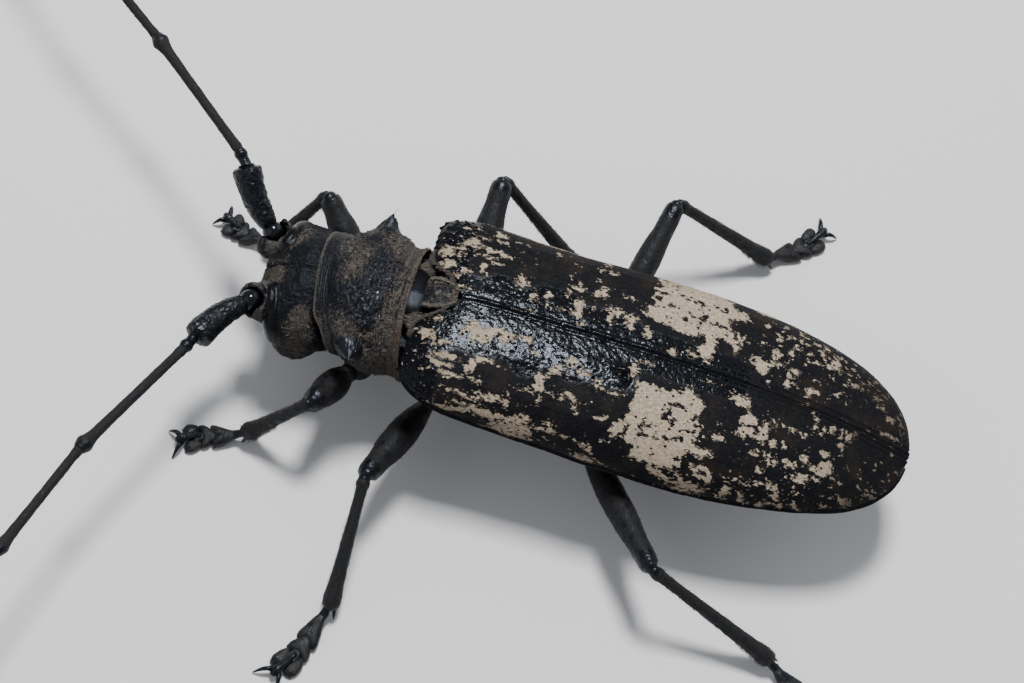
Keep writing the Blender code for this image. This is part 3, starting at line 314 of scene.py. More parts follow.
# Camera: angles in degrees, distance and aim; lamps in metres of the shared frame; sky
CAMERA_TURN, CAMERA_LIFT, CAMERA_ROLL = 88.0, 61.5, 18.0
CAMERA_AWAY, CAMERA_AIM, CAMERA_LENS = 204.0, (-0.38, 5.93, 8.0), 100.0
LAMPS = (
    ("key", (-0.115, -0.02, 0.41), 0.085, 2.9),
    ("fill", (0.3, -0.35, 0.3), 0.5, 0.6),
    ("rim", (-0.35, 0.3, 0.25), 0.4, 0.5),
)
SKY, SKY_STRENGTH = (0.9, 0.93, 1.0, 1.0), 0.42


def along(stations, at):
    """Values at places on the smooth line through (place, value) stations."""
    table = np.array(stations, float)
    places, values = table[:, 0], table[:, 1]
    rise = np.diff(values) / np.diff(places)
    slope = np.empty(len(places))
    slope[0], slope[-1] = rise[0], rise[-1]
    before, after = rise[:-1], rise[1:]
    total = np.where(before + after == 0, 1.0, before + after)
    slope[1:-1] = np.where(before * after > 0, 2 * before * after / total, 0.0)
    at = np.clip(np.asarray(at, float), places[0], places[-1])
    k = np.clip(np.searchsorted(places, at, side="right") - 1, 0, len(places) - 2)
    width = places[k + 1] - places[k]
    t = (at - places[k]) / width
    return (
        values[k] * (1 + 2 * t) * (1 - t) ** 2 + slope[k] * width * t * (1 - t) ** 2
        + values[k + 1] * t * t * (3 - 2 * t) + slope[k + 1] * width * t * t * (t - 1)
    )


def smooth(share):
    """Eases from 0 to 1."""
    share = np.clip(share, 0.0, 1.0)
    return share * share * (3 - 2 * share)


def power_curve(angle, power):
    """Points of a rounded square of half size 1."""
    c, s = np.cos(angle), np.sin(angle)
    return np.sign(c) * np.abs(c) ** (2 / power), np.sign(s) * np.abs(s) ** (2 / power)


def ridge(place_at, middle, wide):
    """A bell from 0 to 1 that is highest at its middle."""
    return np.exp(-((place_at - middle) / wide) ** 2)


def stack(*parts):
    """Joins coordinates, numbers or arrays, into places."""
    return np.stack(np.broadcast_arrays(*parts), -1)


def round_turn(count, start=0.0):
    """Evenly spaced angles once round."""
    return (np.arange(count) + start) * 2 * math.pi / count


def unit(v):
    """Vectors of length 1."""
    v = np.asarray(v, float)
    return v / np.maximum(np.linalg.norm(v, axis=-1, keepdims=True), 1e-12)


def lattice(i, seed):
    """A random number from 0 to 1 for each whole place."""
    h = i[..., 0] * 374761393 + i[..., 1] * 668265263 + i[..., 2] * 362437 + seed * 974711
    h = h & 0xFFFFFFFF
    h = ((h ^ (h >> 13)) * 1274126177) & 0xFFFFFFFF
    h = ((h ^ (h >> 16)) * 1103515245) & 0xFFFFFFFF
    return ((h ^ (h >> 15)) & 0xFFFFFF) / 0xFFFFFF


def noise(points, size, seed=0):
    """Smooth noise from -1 to 1 with features about size across."""
    q = np.asarray(points, float) / size + NOISE_SHIFT
    i = np.floor(q).astype(np.int64)
    f = q - i
    f = f * f * (3 - 2 * f)
    total = 0.0
    for corner in range(8):
        step = np.array([corner & 1, corner >> 1 & 1, corner >> 2])
        weight = np.prod(np.where(step, f, 1 - f), axis=-1)
        total = total + weight * lattice(i + step, seed)
    return total * 2 - 1


def rough(points, size, seed=0, octaves=3):
    """Noise of several sizes, each half of the one before."""
    return sum(noise(points, size / 2 ** k, seed + k) / 2 ** k for k in range(octaves))


def cells(points, size, seed=0):
    """Distance to the nearest of scattered points, in sizes, and that point's random number."""
    q = np.asarray(points, float) / size + NOISE_SHIFT
    i = np.floor(q).astype(np.int64)
    best = np.full(q.shape[:-1], 9.0)
    draw = np.zeros(q.shape[:-1])
    for n in range(27):
        step = i + np.array([n % 3 - 1, n // 3 % 3 - 1, n // 9 - 1])
        spot = step + np.stack([lattice(step, seed + j) for j in (1, 2, 3)], -1)
        away = np.linalg.norm(q - spot, axis=-1)
        near = away < best
        best = np.where(near, away, best)
        draw = np.where(near, lattice(step, seed + 9), draw)
    return best, draw


def grid_normals(grid, around):
    """Unit normals of a grid of points; around says that its columns close."""
    down = np.gradient(grid, axis=0)
    if around:
        across = np.roll(grid, -1, 1) - np.roll(grid, 1, 1)
    else:
        across = np.gradient(grid, axis=1)
    return unit(np.cross(down, across))


def outward(grid, around):
    """Normals of a tube-like grid that point away from its rows' middles."""
    n = grid_normals(grid, around)
    middle = grid.mean(axis=1, keepdims=True)
    if np.sum((grid - middle) * n) < 0:
        n = -n
    return n


class Piece:
    """Gathers grids of points into one object with named values at its points."""

    def __init__(self, name):
        self.name = name
        self.points, self.faces, self.values, self.count = [], [], {}, 0

    def grid(self, grid, around=True, ends=True, **values):
        """Adds a grid; closes its first and last rows with a fan where ends is set."""
        rows, cols = grid.shape[:2]
        index = np.arange(rows * cols).reshape(rows, cols) + self.count
        after = np.roll(index, -1, 1) if around else index[:, 1:]
        here = index if around else index[:, :-1]
        quads = stack(here[:-1], after[:-1], after[1:], here[1:]).reshape(-1, 4)
        self.faces += quads.tolist()
        self.points.append(grid.reshape(-1, 3))
        added = rows * cols
        if ends:
            for row, ring in ((0, index[0]), (-1, index[-1])):
                self.points.append(grid[row].mean(axis=0)[None])
                tip = self.count + added
                added += 1
                self.faces += [[int(a), int(b), tip] for a, b in zip(ring, np.roll(ring, -1))]
        for key, value in values.items():
            flat = np.broadcast_to(np.asarray(value, float), (rows, cols)).reshape(-1)
            tail = [flat[:cols].mean(), flat[-cols:].mean()][:added - rows * cols]
            self.values.setdefault(key, []).append((self.count, np.concatenate([flat, tail])))
        self.count += added

    def raw(self, points, faces, **values):
        """Adds points and faces as they are."""
        self.points.append(points)
        self.faces += [[i + self.count for i in face] for face in faces]
        for key, value in values.items():
            run = np.broadcast_to(value, (len(points),))
            self.values.setdefault(key, []).append((self.count, run))
        self.count += len(points)

    def mesh(self, points):
        """A mesh of the gathered faces on these points, with its normals outward."""
        mesh = bpy.data.meshes.new(self.name)
        mesh.from_pydata(points.tolist(), [], self.faces)
        bm = bmesh.new()
        bm.from_mesh(mesh)
        bmesh.ops.recalc_face_normals(bm, faces=bm.faces)
        bm.to_mesh(mesh)
        bm.free()
        return mesh

    def build(self, paint, *nodes, slot=None, sharp=50.0):
        """Makes the object, which stands for the CAD nodes."""
        mesh = self.mesh(in_frame(np.concatenate(self.points)))
        for key, runs in self.values.items():
            data = np.zeros(self.count, np.float32)
            for start, run in runs:
                data[start:start + len(run)] = run
            mesh.attributes.new(key, "FLOAT", "POINT").data.foreach_set("value", data)
        mesh.shade_smooth()
        mesh.set_sharp_from_angle(angle=math.radians(sharp))
        place(self.name, mesh, paint, nodes, slot)


def link(name, data):
    """A new object in the scene."""
    made = bpy.data.objects.new(name, data)
    bpy.context.scene.collection.objects.link(made)
    return made


def in_frame(points):
    """Points of the beetle's frame in metres of the shared frame, none below the floor."""
    points = points * MM + SHIFT
    points[:, 2] = np.maximum(points[:, 2], 0.0)
    return points


def place(name, mesh, paint, nodes=(), slot=None):
    """Links a mesh as a piece of the beetle."""
    made = link(name, mesh)
    mesh.materials.append(paint)
    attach(made, "root")
    if nodes:
        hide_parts(*nodes)


def frames(centres):
    """Directions, sideways and upward vectors along a line, without twist."""
    centres = np.asarray(centres, float)
    ahead = unit(np.gradient(centres, axis=0))
    side = unit(np.cross(ahead[0], (0, 0, 1)))
    sides = []
    for a in ahead:
        side = unit(side - a * np.dot(side, a))
        sides.append(side)
    sides = np.array(sides)
    return ahead, sides, np.cross(sides, ahead)


def dense(points, step):
    """Points closer together on the smooth curve through the points given."""
    points = np.asarray(points, float)
    run = np.concatenate([[0], np.cumsum(np.linalg.norm(np.diff(points, axis=0), axis=1))])
    at = np.linspace(0, run[-1], max(4, int(run[-1] / step)))
    return np.stack([along(list(zip(run, points[:, k])), at) for k in range(3)], -1), at / run[-1]


def tube(centres, radii, sides=32, deeper=1.0, end=(1.0, 1.0)):
    """Grid round a line of centres with rounded ends; end gives their depth in radii."""
    centres, radii = np.asarray(centres, float), np.asarray(radii, float)
    ahead, across, over = frames(centres)
    rows = []
    turn = round_turn(sides)
    cos, sin = np.cos(turn)[:, None], np.sin(turn)[:, None] * deeper
    caps = np.linspace(0.12, 1.35, 5)
    for bend in caps[::-1]:
        c = centres[0] - ahead[0] * radii[0] * end[0] * math.sin(bend)
        rows.append(c + (across[0] * cos + over[0] * sin) * radii[0] * math.cos(bend))
    for k in range(len(centres)):
        rows.append(centres[k] + (across[k] * cos + over[k] * sin) * radii[k])
    for bend in caps:
        c = centres[-1] + ahead[-1] * radii[-1] * end[1] * math.sin(bend)
        rows.append(c + (across[-1] * cos + over[-1] * sin) * radii[-1] * math.cos(bend))
    return np.array(rows)


def limb(start, finish, stations, step=0.12, bow=None, **shape):
    """Tube between two points with (share, radius) stations, bent by bow at its middle."""
    start, finish = np.asarray(start, float), np.asarray(finish, float)
    count = max(6, int(np.linalg.norm(finish - start) / step))
    t = np.linspace(0, 1, count)
    centres = start + (finish - start) * t[:, None]
    if bow is not None:
        centres = centres + np.asarray(bow) * np.sin(math.pi * t)[:, None]
    return tube(centres, along(stations, t), **shape)


def shares(grid):
    """How far along a grid's rows each of its points is, from 0 to 1."""
    return np.linspace(0, 1, len(grid))[:, None] * np.ones(grid.shape[1])


def side_point(side, p):
    """A place given for the left, on the side asked for."""
    return np.array([side * p[0], p[1], p[2]], float)


def locate():
    """Where the beetle's own origin is in the frame, from the wing cases' solids."""
    left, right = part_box("elytron_left"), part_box("elytron_right")
    return np.array([(left[1][0] + right[0][0]) / 2, left[1][1] - ELYTRA_LENGTH * MM, 0.0])


SHIFT = locate()
DRAW = np.random.default_rng(7)


# Materials

class Paint:
    """Builds a material's nodes."""

    def __init__(self, name):
        self.material = bpy.data.materials.new(name)
        self.material.use_nodes = True
        self.tree = self.material.node_tree
        self.shader = self.tree.nodes["Principled BSDF"]
        spot = self.tree.nodes.new("ShaderNodeTexCoord").outputs["Object"]
        self.spot = self.vector("SCALE", spot, Scale=1 / MM)

    def node(self, kind, settings=None, **inputs):
        """A node with its settings and inputs; sockets are linked and values set."""
        made = self.tree.nodes.new(kind)
        for key, value in (settings or {}).items():
            setattr(made, key, value)
        for key, value in inputs.items():
            self.give(made.inputs[key.replace("_", " ")], value)
        return made

    def give(self, socket, value):
        """Links or sets an input."""
        if isinstance(value, bpy.types.NodeSocket):
            self.tree.links.new(value, socket)
        else:
            socket.default_value = value

    def vector(self, operation, first, second=None, **inputs):
        """Vector maths."""
        made = self.node("ShaderNodeVectorMath", {"operation": operation}, **inputs)
        self.give(made.inputs[0], first)
        if second is not None:
            self.give(made.inputs[1], second)
        return made.outputs[0]

    def maths(self, operation, first, second=0.0, third=0.0):
        """Number maths, held to 0 to 1 for the word that ends in a dot."""
        made = self.node("ShaderNodeMath", {"operation": operation.rstrip(".")})
        made.use_clamp = operation.endswith(".")
        for socket, value in zip(made.inputs, (first, second, third)):
            self.give(socket, value)
        return made.outputs[0]

    def scale(self, value, factor, offset=0.0):
        """A value times a factor plus an offset."""
        return self.maths("MULTIPLY_ADD", value, factor, offset)

    def value(self, name):
        """A value stored at the mesh's points."""
        return self.node("ShaderNodeAttribute", {"attribute_name": name}).outputs["Fac"]

    def stretched(self, size):
        """Places scaled so that features of these sizes in millimetres are 1 across."""
        return self.vector("MULTIPLY", self.spot, tuple(1 / s for s in size))

    def clouds(self, size, detail=3.0, roughness=0.55):
        """Noise from 0 to 1 with features of a size in millimetres, or of one per axis."""
        size = size if isinstance(size, tuple) else (size,) * 3
        made = self.node("ShaderNodeTexNoise", Vector=self.stretched(size), Scale=1.0,
                         Detail=detail, Roughness=roughness)
        return made.outputs["Fac"]

    def spots(self, size, feature="F1", output="Distance", randomness=1.0):
        """Distance to scattered points, in sizes."""
        size = size if isinstance(size, tuple) else (size,) * 3
        made = self.node("ShaderNodeTexVoronoi", {"feature": feature}, Vector=self.stretched(size),
                         Scale=1.0, Randomness=randomness)
        return made.outputs[output]

    def ramp(self, value, low, high, start=0.0, stop=1.0):
        """A value run from low to high turned to a run from start to stop, held at its ends."""
        made = self.node("ShaderNodeMapRange", {"interpolation_type": "SMOOTHSTEP"}, Value=value)
        for key, number in (("From Min", low), ("From Max", high), ("To Min", start), ("To Max", stop)):
            self.give(made.inputs[key], number)
        return made.outputs[0]

    def mix(self, share, first, second):
        """A colour between two."""
        made = self.node("ShaderNodeMix", {"data_type": "RGBA"})
        self.give(made.inputs[0], share)
        for socket, value in ((made.inputs[6], first), (made.inputs[7], second)):
            self.give(socket, (*value, 1.0) if isinstance(value, tuple) else value)
        return made.outputs[2]

    def bump(self, height, deep, before=None):
        """Small relief of a depth in millimetres."""
        made = self.node("ShaderNodeBump", Height=height, Strength=1.0, Distance=deep * MM)
        if before is not None:
            self.give(made.inputs["Normal"], before)
        return made.outputs[0]

    def finish(self, colour, roughness, normal=None, **plain):
        """Connects the shader and gives the material back."""
        self.give(self.shader.inputs["Base Color"], colour)
        self.give(self.shader.inputs["Roughness"], roughness)
        if normal is not None:
            self.give(self.shader.inputs["Normal"], normal)
        self.give(self.shader.inputs["Specular Tint"], SHEEN)
        for key, value in plain.items():
            self.give(self.shader.inputs[key.replace("_", " ")], value)
        return self.material


def paint_elytra():
    """Black ground with pits, brown down and pale marks."""
    p = Paint("elytra_marked")
    lie = p.clouds((0.05, 0.4, 0.05), 4.0)
    mark = p.value("mark")
    edge = p.maths("ADD", mark, p.scale(p.clouds((0.26, 0.38, 0.26), 4.0, 0.6), 1.3, -0.69))
    edge = p.maths("ADD", edge, p.scale(lie, 0.3, -0.16))
    pit_away = p.spots(0.36)
    pit = p.ramp(pit_away, 0.1, 0.3, 1.0, 0.0)
    dot = p.maths("MULTIPLY", p.ramp(pit_away, 0.24, 0.34, 1.0, 0.0),
                  p.ramp(p.spots(0.36, output="Color"), 0.72, 0.76))
    bare = p.maths("SUBTRACT.", 1.0, p.maths("MAXIMUM", dot, p.value("rim")))
    pale = p.maths("MULTIPLY", p.ramp(edge, -0.015, 0.035), bare)
    grain = (0.2, 0.3, 0.2)
    fleck = p.maths("MULTIPLY", p.ramp(p.spots(grain), 0.16, 0.3, 1.0, 0.0),
                    p.ramp(p.spots(grain, output="Color"), 0.68, 0.72))
    near_mark = p.ramp(p.maths("ADD", mark, p.scale(p.clouds(1.6), 1.4, -0.7)), -0.6, -0.05)
    fleck = p.maths("MULTIPLY", fleck, near_mark)
    pale = p.maths("MAXIMUM", pale, p.scale(fleck, 0.6))
    worn = p.ramp(p.maths("ADD", p.value("worn"), p.scale(p.clouds(0.6, 4.0), 0.5)), 0.45, 0.95)
    matt = p.maths("SUBTRACT.", 1.0, worn)
    ground = p.mix(p.ramp(p.clouds(2.6, 4.0, 0.6), 0.48, 0.66), (0.0042, 0.0044, 0.0054), BROWN)
    ground = p.mix(worn, ground, BLACK)
    ground = p.mix(p.maths("MULTIPLY", p.ramp(lie, 0.52, 0.72), p.scale(matt, 0.6, 0.12)), ground,
                   (0.026, 0.0215, 0.0175))
    down = p.mix(p.ramp(lie, 0.32, 0.66), PALE_DIM, PALE)
    gap = p.ramp(p.clouds(0.16, 2.0), 0.35, 0.6, 1.0, 0.0)
    down = p.mix(p.scale(gap, 0.45), down, (0.10, 0.08, 0.058))
    down = p.mix(p.value("tone"), (0.04, 0.033, 0.026), down)
    colour = p.mix(pale, ground, down)
    roughness = p.maths("MAXIMUM", p.scale(worn, -0.38, 0.58), p.scale(pale, 0.92))
    gleam = p.maths("MULTIPLY", p.scale(worn, 0.06, 0.06),
                    p.scale(p.maths("MAXIMUM", pale, pit), -0.8, 1.0))
    relief = p.bump(p.maths("MULTIPLY", pit, p.scale(p.value("worn"), -0.8, -0.2)), 0.08)
    relief = p.bump(p.clouds(0.32, 2.0, 0.5), 0.045, relief)
    hair = p.maths("MULTIPLY", lie, p.maths("MAXIMUM", matt, pale))
    relief = p.bump(pale, 0.02, p.bump(hair, 0.03, relief))
    return p.finish(colour, roughness, relief, Specular_IOR_Level=gleam)


def paint_felted():
    """Black wrinkled shell with ochre-brown down in its hollows."""
    p = Paint("felted_shell")
    across, back = p.clouds((0.32, 0.08, 0.2), 3.0, 0.6), p.clouds((0.1, 0.34, 0.14), 3.0, 0.6)
    turn = p.ramp(p.clouds(1.1, 2.0), 0.42, 0.58)
    lie = p.maths("MULTIPLY_ADD", turn, p.maths("SUBTRACT", back, across), across)
    down = p.maths("ADD", p.value("down"), p.scale(p.clouds(0.5, 5.0, 0.75), 1.2, -0.6))
    share = p.maths("ADD", p.ramp(down, -0.45, 0.9), p.scale(lie, 3.4, -1.7))
    share = p.maths("MULTIPLY", p.ramp(share, 0.2, 0.75), p.ramp(down, -0.35, 0.1))
    fleck = p.mix(p.ramp(lie, 0.42, 0.62), OCHRE_DIM, OCHRE)
    fleck = p.mix(p.value("grey"), fleck, GREY)
    gloss = p.value("gloss")
    ground = p.mix(p.clouds(0.9, 3.0), BLACK, (0.0062, 0.0066, 0.0085))
    colour = p.mix(p.maths("MULTIPLY", share, p.scale(gloss, -0.6, 0.8)), ground, fleck)
    colour = p.mix(p.value("amber"), colour, (0.05, 0.026, 0.0125))
    matt = p.scale(gloss, -0.9, 1.0)
    relief = p.bump(p.maths("MULTIPLY", p.spots(0.16, "SMOOTH_F1"), matt), 0.04)
    relief = p.bump(p.maths("MULTIPLY", p.clouds(0.12, 4.0, 0.6), matt), 0.04, relief)
    relief = p.bump(p.maths("MULTIPLY", p.maths("MULTIPLY", lie, share), matt), 0.04, relief)
    roughness = p.maths("MULTIPLY_ADD", gloss, -0.24, p.scale(share, 0.4, 0.36))
    gleam = p.maths("MULTIPLY_ADD", gloss, 0.4, p.scale(share, -0.06, 0.12))
    return p.finish(colour, roughness, relief, Specular_IOR_Level=gleam)


def paint_cuticle():
    """Black shell of the legs and scapes with thin grey down, bare and glossy at the joints."""
    p = Paint("leg_shell")
    lie = p.clouds(0.05, 3.0)
    down = p.maths("ADD", p.value("down"), p.scale(p.clouds(0.8, 5.0, 0.7), 1.5, -0.35))
    down = p.ramp(down, 0.65, 1.35)
    grain = p.mix(p.ramp(lie, 0.35, 0.65), (0.009, 0.0088, 0.0085), (0.032, 0.0305, 0.0285))
    grain = p.mix(p.value("ochre"), grain, OCHRE)
    colour = p.mix(p.scale(down, 0.75), BLACK, grain)
    relief = p.bump(p.spots(0.2, "SMOOTH_F1"), 0.035)
    relief = p.bump(p.clouds(0.1, 3.0), 0.02, relief)
    relief = p.bump(p.maths("MULTIPLY", lie, down), 0.03, relief)
    return p.finish(colour, p.scale(down, 0.4, 0.3), relief,
                    Specular_IOR_Level=p.scale(down, -0.16, 0.25))


def paint_gloss():
    """Bare glossy black shell."""
    p = Paint("glossy_shell")
    relief = p.bump(p.clouds(0.25, 3.0), 0.008)
    colour = p.mix(p.clouds(0.5, 2.0), BLACK, (0.006, 0.0055, 0.006))
    return p.finish(colour, p.ramp(p.clouds(0.3, 3.0), 0.3, 0.7, 0.08, 0.16), relief,
                    Specular_IOR_Level=0.3)


def paint_eye():
    """Dark faceted eye."""
    p = Paint("eye_facets")
    facets = p.spots(0.055, randomness=0.2)
    relief = p.bump(p.scale(facets, -1.0), 0.01)
    colour = p.mix(p.ramp(facets, 0.2, 0.6), (0.0016, 0.0016, 0.002), (0.0034, 0.003, 0.003))
    return p.finish(colour, p.ramp(facets, 0.1, 0.6, 0.14, 0.26), relief, Specular_IOR_Level=0.14)


def paint_membrane():
    """Orange-brown skin between the plates, darkened as painted shade of the gap behind the pronotum."""
    p = Paint("joint_skin")
    # painted shade: near black and dim orange-brown, darker than the skin's own colour
    colour = p.mix(p.ramp(p.clouds(0.7, 4.0), 0.4, 0.7), (0.004, 0.003, 0.0025), (0.03, 0.013, 0.006))
    relief = p.bump(p.clouds((0.4, 0.12, 0.12), 3.0), 0.05)
    return p.finish(colour, p.ramp(p.clouds(0.2), 0.3, 0.7, 0.25, 0.5), relief, Specular_IOR_Level=0.2)


def paint_plate():
    """Smooth plate in front of the scutellum: painted grey-blue sheen where lit, painted black shade
    elsewhere.
    """
    p = Paint("fore_plate")
    painted_sheen = p.mix(p.clouds(0.5, 4.0), (0.012, 0.0138, 0.0185), (0.007, 0.008, 0.0108))
    # painted light: grey-blue painted sheen where the value lit is high, black painted shade on the rest
    colour = p.mix(p.value("lit"), BLACK, painted_sheen)
    relief = p.bump(p.clouds((0.6, 0.1, 0.1), 3.0), 0.012)
    return p.finish(colour, p.ramp(p.clouds(0.2), 0.3, 0.7, 0.4, 0.5), relief,
                    Specular_IOR_Level=p.scale(p.value("lit"), 0.12, 0.05))


def paint_hair(name, dark, light):
    """Fine hair, each tuft of its own shade."""
    p = Paint(name)
    colour = p.mix(p.value("shade"), dark, light)
    return p.finish(colour, p.ramp(p.clouds(0.2), 0.3, 0.7, 0.5, 0.7), Specular_IOR_Level=0.35)


def paint_floor():
    """Plain pale floor."""
    p = Paint("floor_pale")
    colour = p.mix(p.clouds(40.0, 2.0), (0.60, 0.60, 0.60), (0.63, 0.63, 0.63))
    return p.finish(colour, p.ramp(p.clouds(20.0), 0.0, 1.0, 0.6, 0.7), Specular_IOR_Level=0.2)


# Wing cases

def suture(y):
    """Distance of a wing case's inner edge from the middle line."""
    end = SCUTELLUM_HALF[-1][0] + 0.1
    tongue = float(along(SCUTELLUM_HALF, y - 0.1)) + 0.1
    return max(SUTURE_HALF, tongue - max(0.0, y - end) * 1.3)


def section(y, count):
    """Points of a wing case's section near y, evenly spaced from the suture, and their arcs."""
    bend = ROOT_HOLLOW * (1 - float(smooth((y - HALF_WIDTH[0][0]) / ROOT_FADE)))
    half, inner = float(along(HALF_WIDTH, y)), suture(y + bend)
    start = math.acos(min(1.0, inner / half) ** (ELYTRA_POWER / 2))
    across, up = power_curve(np.linspace(start, 0, 240), ELYTRA_POWER)
    x = half * across
    back = y + bend * (1 - smooth((x - inner) / (ROOT_SHOULDER - inner)))
    crest, edge = along(CREST, back), along(EDGE, back)
    line = stack(x, back, edge + (crest - edge) * up)
    arc = np.concatenate([[0], np.cumsum(np.hypot(np.diff(line[:, 0]), np.diff(line[:, 2])))])
    at = np.linspace(0, arc[-1], count)
    points = np.stack([np.interp(at, arc, line[:, k]) for k in range(3)], -1)
    return points, at + inner, arc[-1] - at


def ellipses(marks, y, s):
    """How deep in the nearest ellipse each place is, in millimetres; less than 0 is outside."""
    best = np.full(y.shape, -2.0)
    for mark in marks:
        my, ms, ry, rs = mark[:4]
        turn = math.radians(mark[4] if len(mark) > 4 else 0.0)
        a = (y - my) * math.cos(turn) + (s - ms) * math.sin(turn)
        b = (s - ms) * math.cos(turn) - (y - my) * math.sin(turn)
        power = 3.4 if ry > 2 else 2.3
        away = (np.abs(a / ry) ** power + np.abs(b / rs) ** power) ** (1 / power)
        best = np.maximum(best, (1 - away) * min(ry, rs))
    return best


def mark_field(points, y, s, edge, side):
    """Depth inside the pale marks, and how bright they are."""
    warp_y = y + 0.24 * noise(points, 1.0, 3) + 0.15 * noise(points, 0.4, 4)
    warp_s = s + 0.2 * noise(points, 0.8, 5) + 0.13 * noise(points, 0.34, 6)
    marks, darks = (MARKS_LEFT, DARKS_LEFT) if side > 0 else (MARKS_RIGHT, DARKS_RIGHT)
    field = ellipses(marks, warp_y, warp_s)
    field = np.minimum(field, -1.3 * ellipses(darks, warp_y, warp_s))
    slant = stack(points[..., 0] + 0.35 * y * side, y * 0.38, points[..., 2])
    near_root = smooth((3.2 - y) / 2.0) * smooth((s - 2.2) / 1.2) * smooth((edge - 1.2) / 1.0)
    field = np.maximum(field, (rough(slant, 0.36, 11, 2) - 0.5) * 0.5 - 0.6 * (1 - near_root))
    away, draw = cells(points * np.array([1, 0.8, 1]), 0.62, 21)
    crowd = 0.05 + 0.28 * smooth((y - 21) / 5) * smooth((s - 2.0) / 2)
    crowd = crowd + 0.22 * smooth((y - 29) / 4) + 0.2 * smooth((2.4 - edge) / 1.5) * smooth((y - 2) / 4)
    field = np.maximum(field, np.where(draw < 0.7 * crowd, 0.08 + 0.3 * draw - away * 0.62, -1.0))
    away, draw = cells(points * np.array([1, 0.75, 1]), 0.4, 23)
    field = np.maximum(field, np.where(draw < 1.1 * crowd - 0.05, 0.1 - away * 0.4, -1.0))
    tone = 1.0 - 0.62 * smooth((y - 27.5) / 5) - 0.25 * smooth((2.6 - edge) / 1.4)
    tone = tone - 0.18 * near_root - 0.3 * (s < 0.5)
    return np.clip(field, -1, 1), np.clip(tone, 0.12, 1)


def worn_ground(points, y, s, edge, side):
    """Where the down is worn off a wing case: near the suture, at its root and on its rim."""
    reach = 5.0 if side > 0 else 3.0
    return np.maximum.reduce([
        smooth((reach + 1.1 * noise(points, 1.6, 47) - s) / 2.0) * smooth((16.5 - y) / 3.5),
        smooth((2.3 - s) / 1.2) * smooth((25 - y) / 4) * 0.9,
        smooth((2.2 - y) / 1.5),
        smooth((0.3 - edge) / 0.1),
    ])


def dent(points, y, s):
    """Relief of the left case's dent: a slit, its cross end and two bulges."""
    slit = s - 2.45 - 0.25 * (y - 13.9) - 0.1 * noise(points, 0.4, 57)
    cross = y - 14.35 + 0.3 * (s - 2.8)
    return (
        -0.2 * np.exp(-(slit / 0.16) ** 2 - ((y - 13.8) / 0.62) ** 4)
        - 0.2 * np.exp(-(cross / 0.15) ** 2 - ((s - 2.85) / 0.34) ** 4)
        + 0.13 * np.exp(-((s - 1.95) / 0.34) ** 2 - ((y - 14.0) / 0.6) ** 2)
        + 0.07 * np.exp(-((s - 3.0) / 0.3) ** 2 - ((y - 13.7) / 0.4) ** 2)
    )


def build_elytra():
    """The two wing cases with marks, pits, granules, ridges and rims."""
    ys = np.concatenate([
        np.linspace(ELYTRA_ROOT, ELYTRA_LENGTH - 1.0, ELYTRA_ROWS),
        np.linspace(ELYTRA_LENGTH - 0.92, ELYTRA_LENGTH, ELYTRA_TIP_ROWS),
    ])
    for word, side in SIDES:
        rows = [section(y, ELYTRA_COLS) for y in ys]
        grid = np.array([r[0] for r in rows])
        s, edge = np.array([r[1] for r in rows]), np.array([r[2] for r in rows])
        grid[..., 0] *= side
        y = grid[..., 1]
        n = grid_normals(grid, False)
        n = n * np.sign(n[..., 2].mean())
        mark, tone = mark_field(grid, y, s, edge, side)
        worn = worn_ground(grid, y, s, edge, side)
        from_suture = s - SUTURE_HALF
        late = smooth((y - 1.5) / 1.5)
        rise = late * 0.06 * ridge(from_suture, 0.12, 0.09)
        rise += smooth((y - 17) / 6) * 0.05 * ridge(from_suture, 0.55, 0.08)
        rise -= late * 0.03 * ridge(from_suture, 0.36, 0.12) * (0.3 + 0.7 * smooth((y - 20) / 8))
        rise += 0.1 * ridge(edge, 0.1, 0.1) - 0.08 * ridge(edge, 0.36, 0.12)
        for share in (0.36, 0.62):
            line = ridge(s / (s + edge), share, 0.03)
            rise += 0.035 * line * smooth((y - 2) / 4) * smooth((30 - y) / 6)
        rise += 0.04 * noise(grid, 1.8, 41) + 0.012 * rough(grid, 0.6, 43, 2) * (0.5 + worn)
        if side > 0:
            rise += dent(grid, y, s)
        away, draw = cells(grid, 0.37, 51)
        granular = smooth((2.6 - y) / 2.6) * (draw < 0.75)
        rise += granular * 0.11 * smooth((0.42 - away) / 0.3)
        pitted = smooth((y - 2.5) / 2) * smooth((26 - y) / 8) * (0.35 + worn)
        rise -= 0.05 * smooth((0.3 - away) / 0.2) * pitted
        grid = grid + n * rise[..., None]
        hair_on_marks(word, side, grid, n, mark, tone)
        bare = np.clip(granular * smooth((0.36 - away) / 0.1) + smooth((0.3 - edge) / 0.1), 0, 1)
        grid, n = lip_rows(grid, n)
        looks = {"mark": mark, "tone": tone, "worn": worn, "rim": bare}
        looks = {key: np.pad(value, LIPS, mode="edge") for key, value in looks.items()}
        piece = Piece(f"elytron_{word}_shell")
        piece.grid(grid, around=False, ends=False, **looks)
        (front, rear), (inner, outer) = LIPS
        inside = (grid - n * ELYTRA_INSIDE)[front:-rear, inner:-outer]
        piece.grid(inside[::INSIDE_STEP, ::INSIDE_STEP], around=False, ends=False, mark=-1, worn=1)
        piece.build(PAINT["elytra"], f"elytron_{word}", slot="elytra")


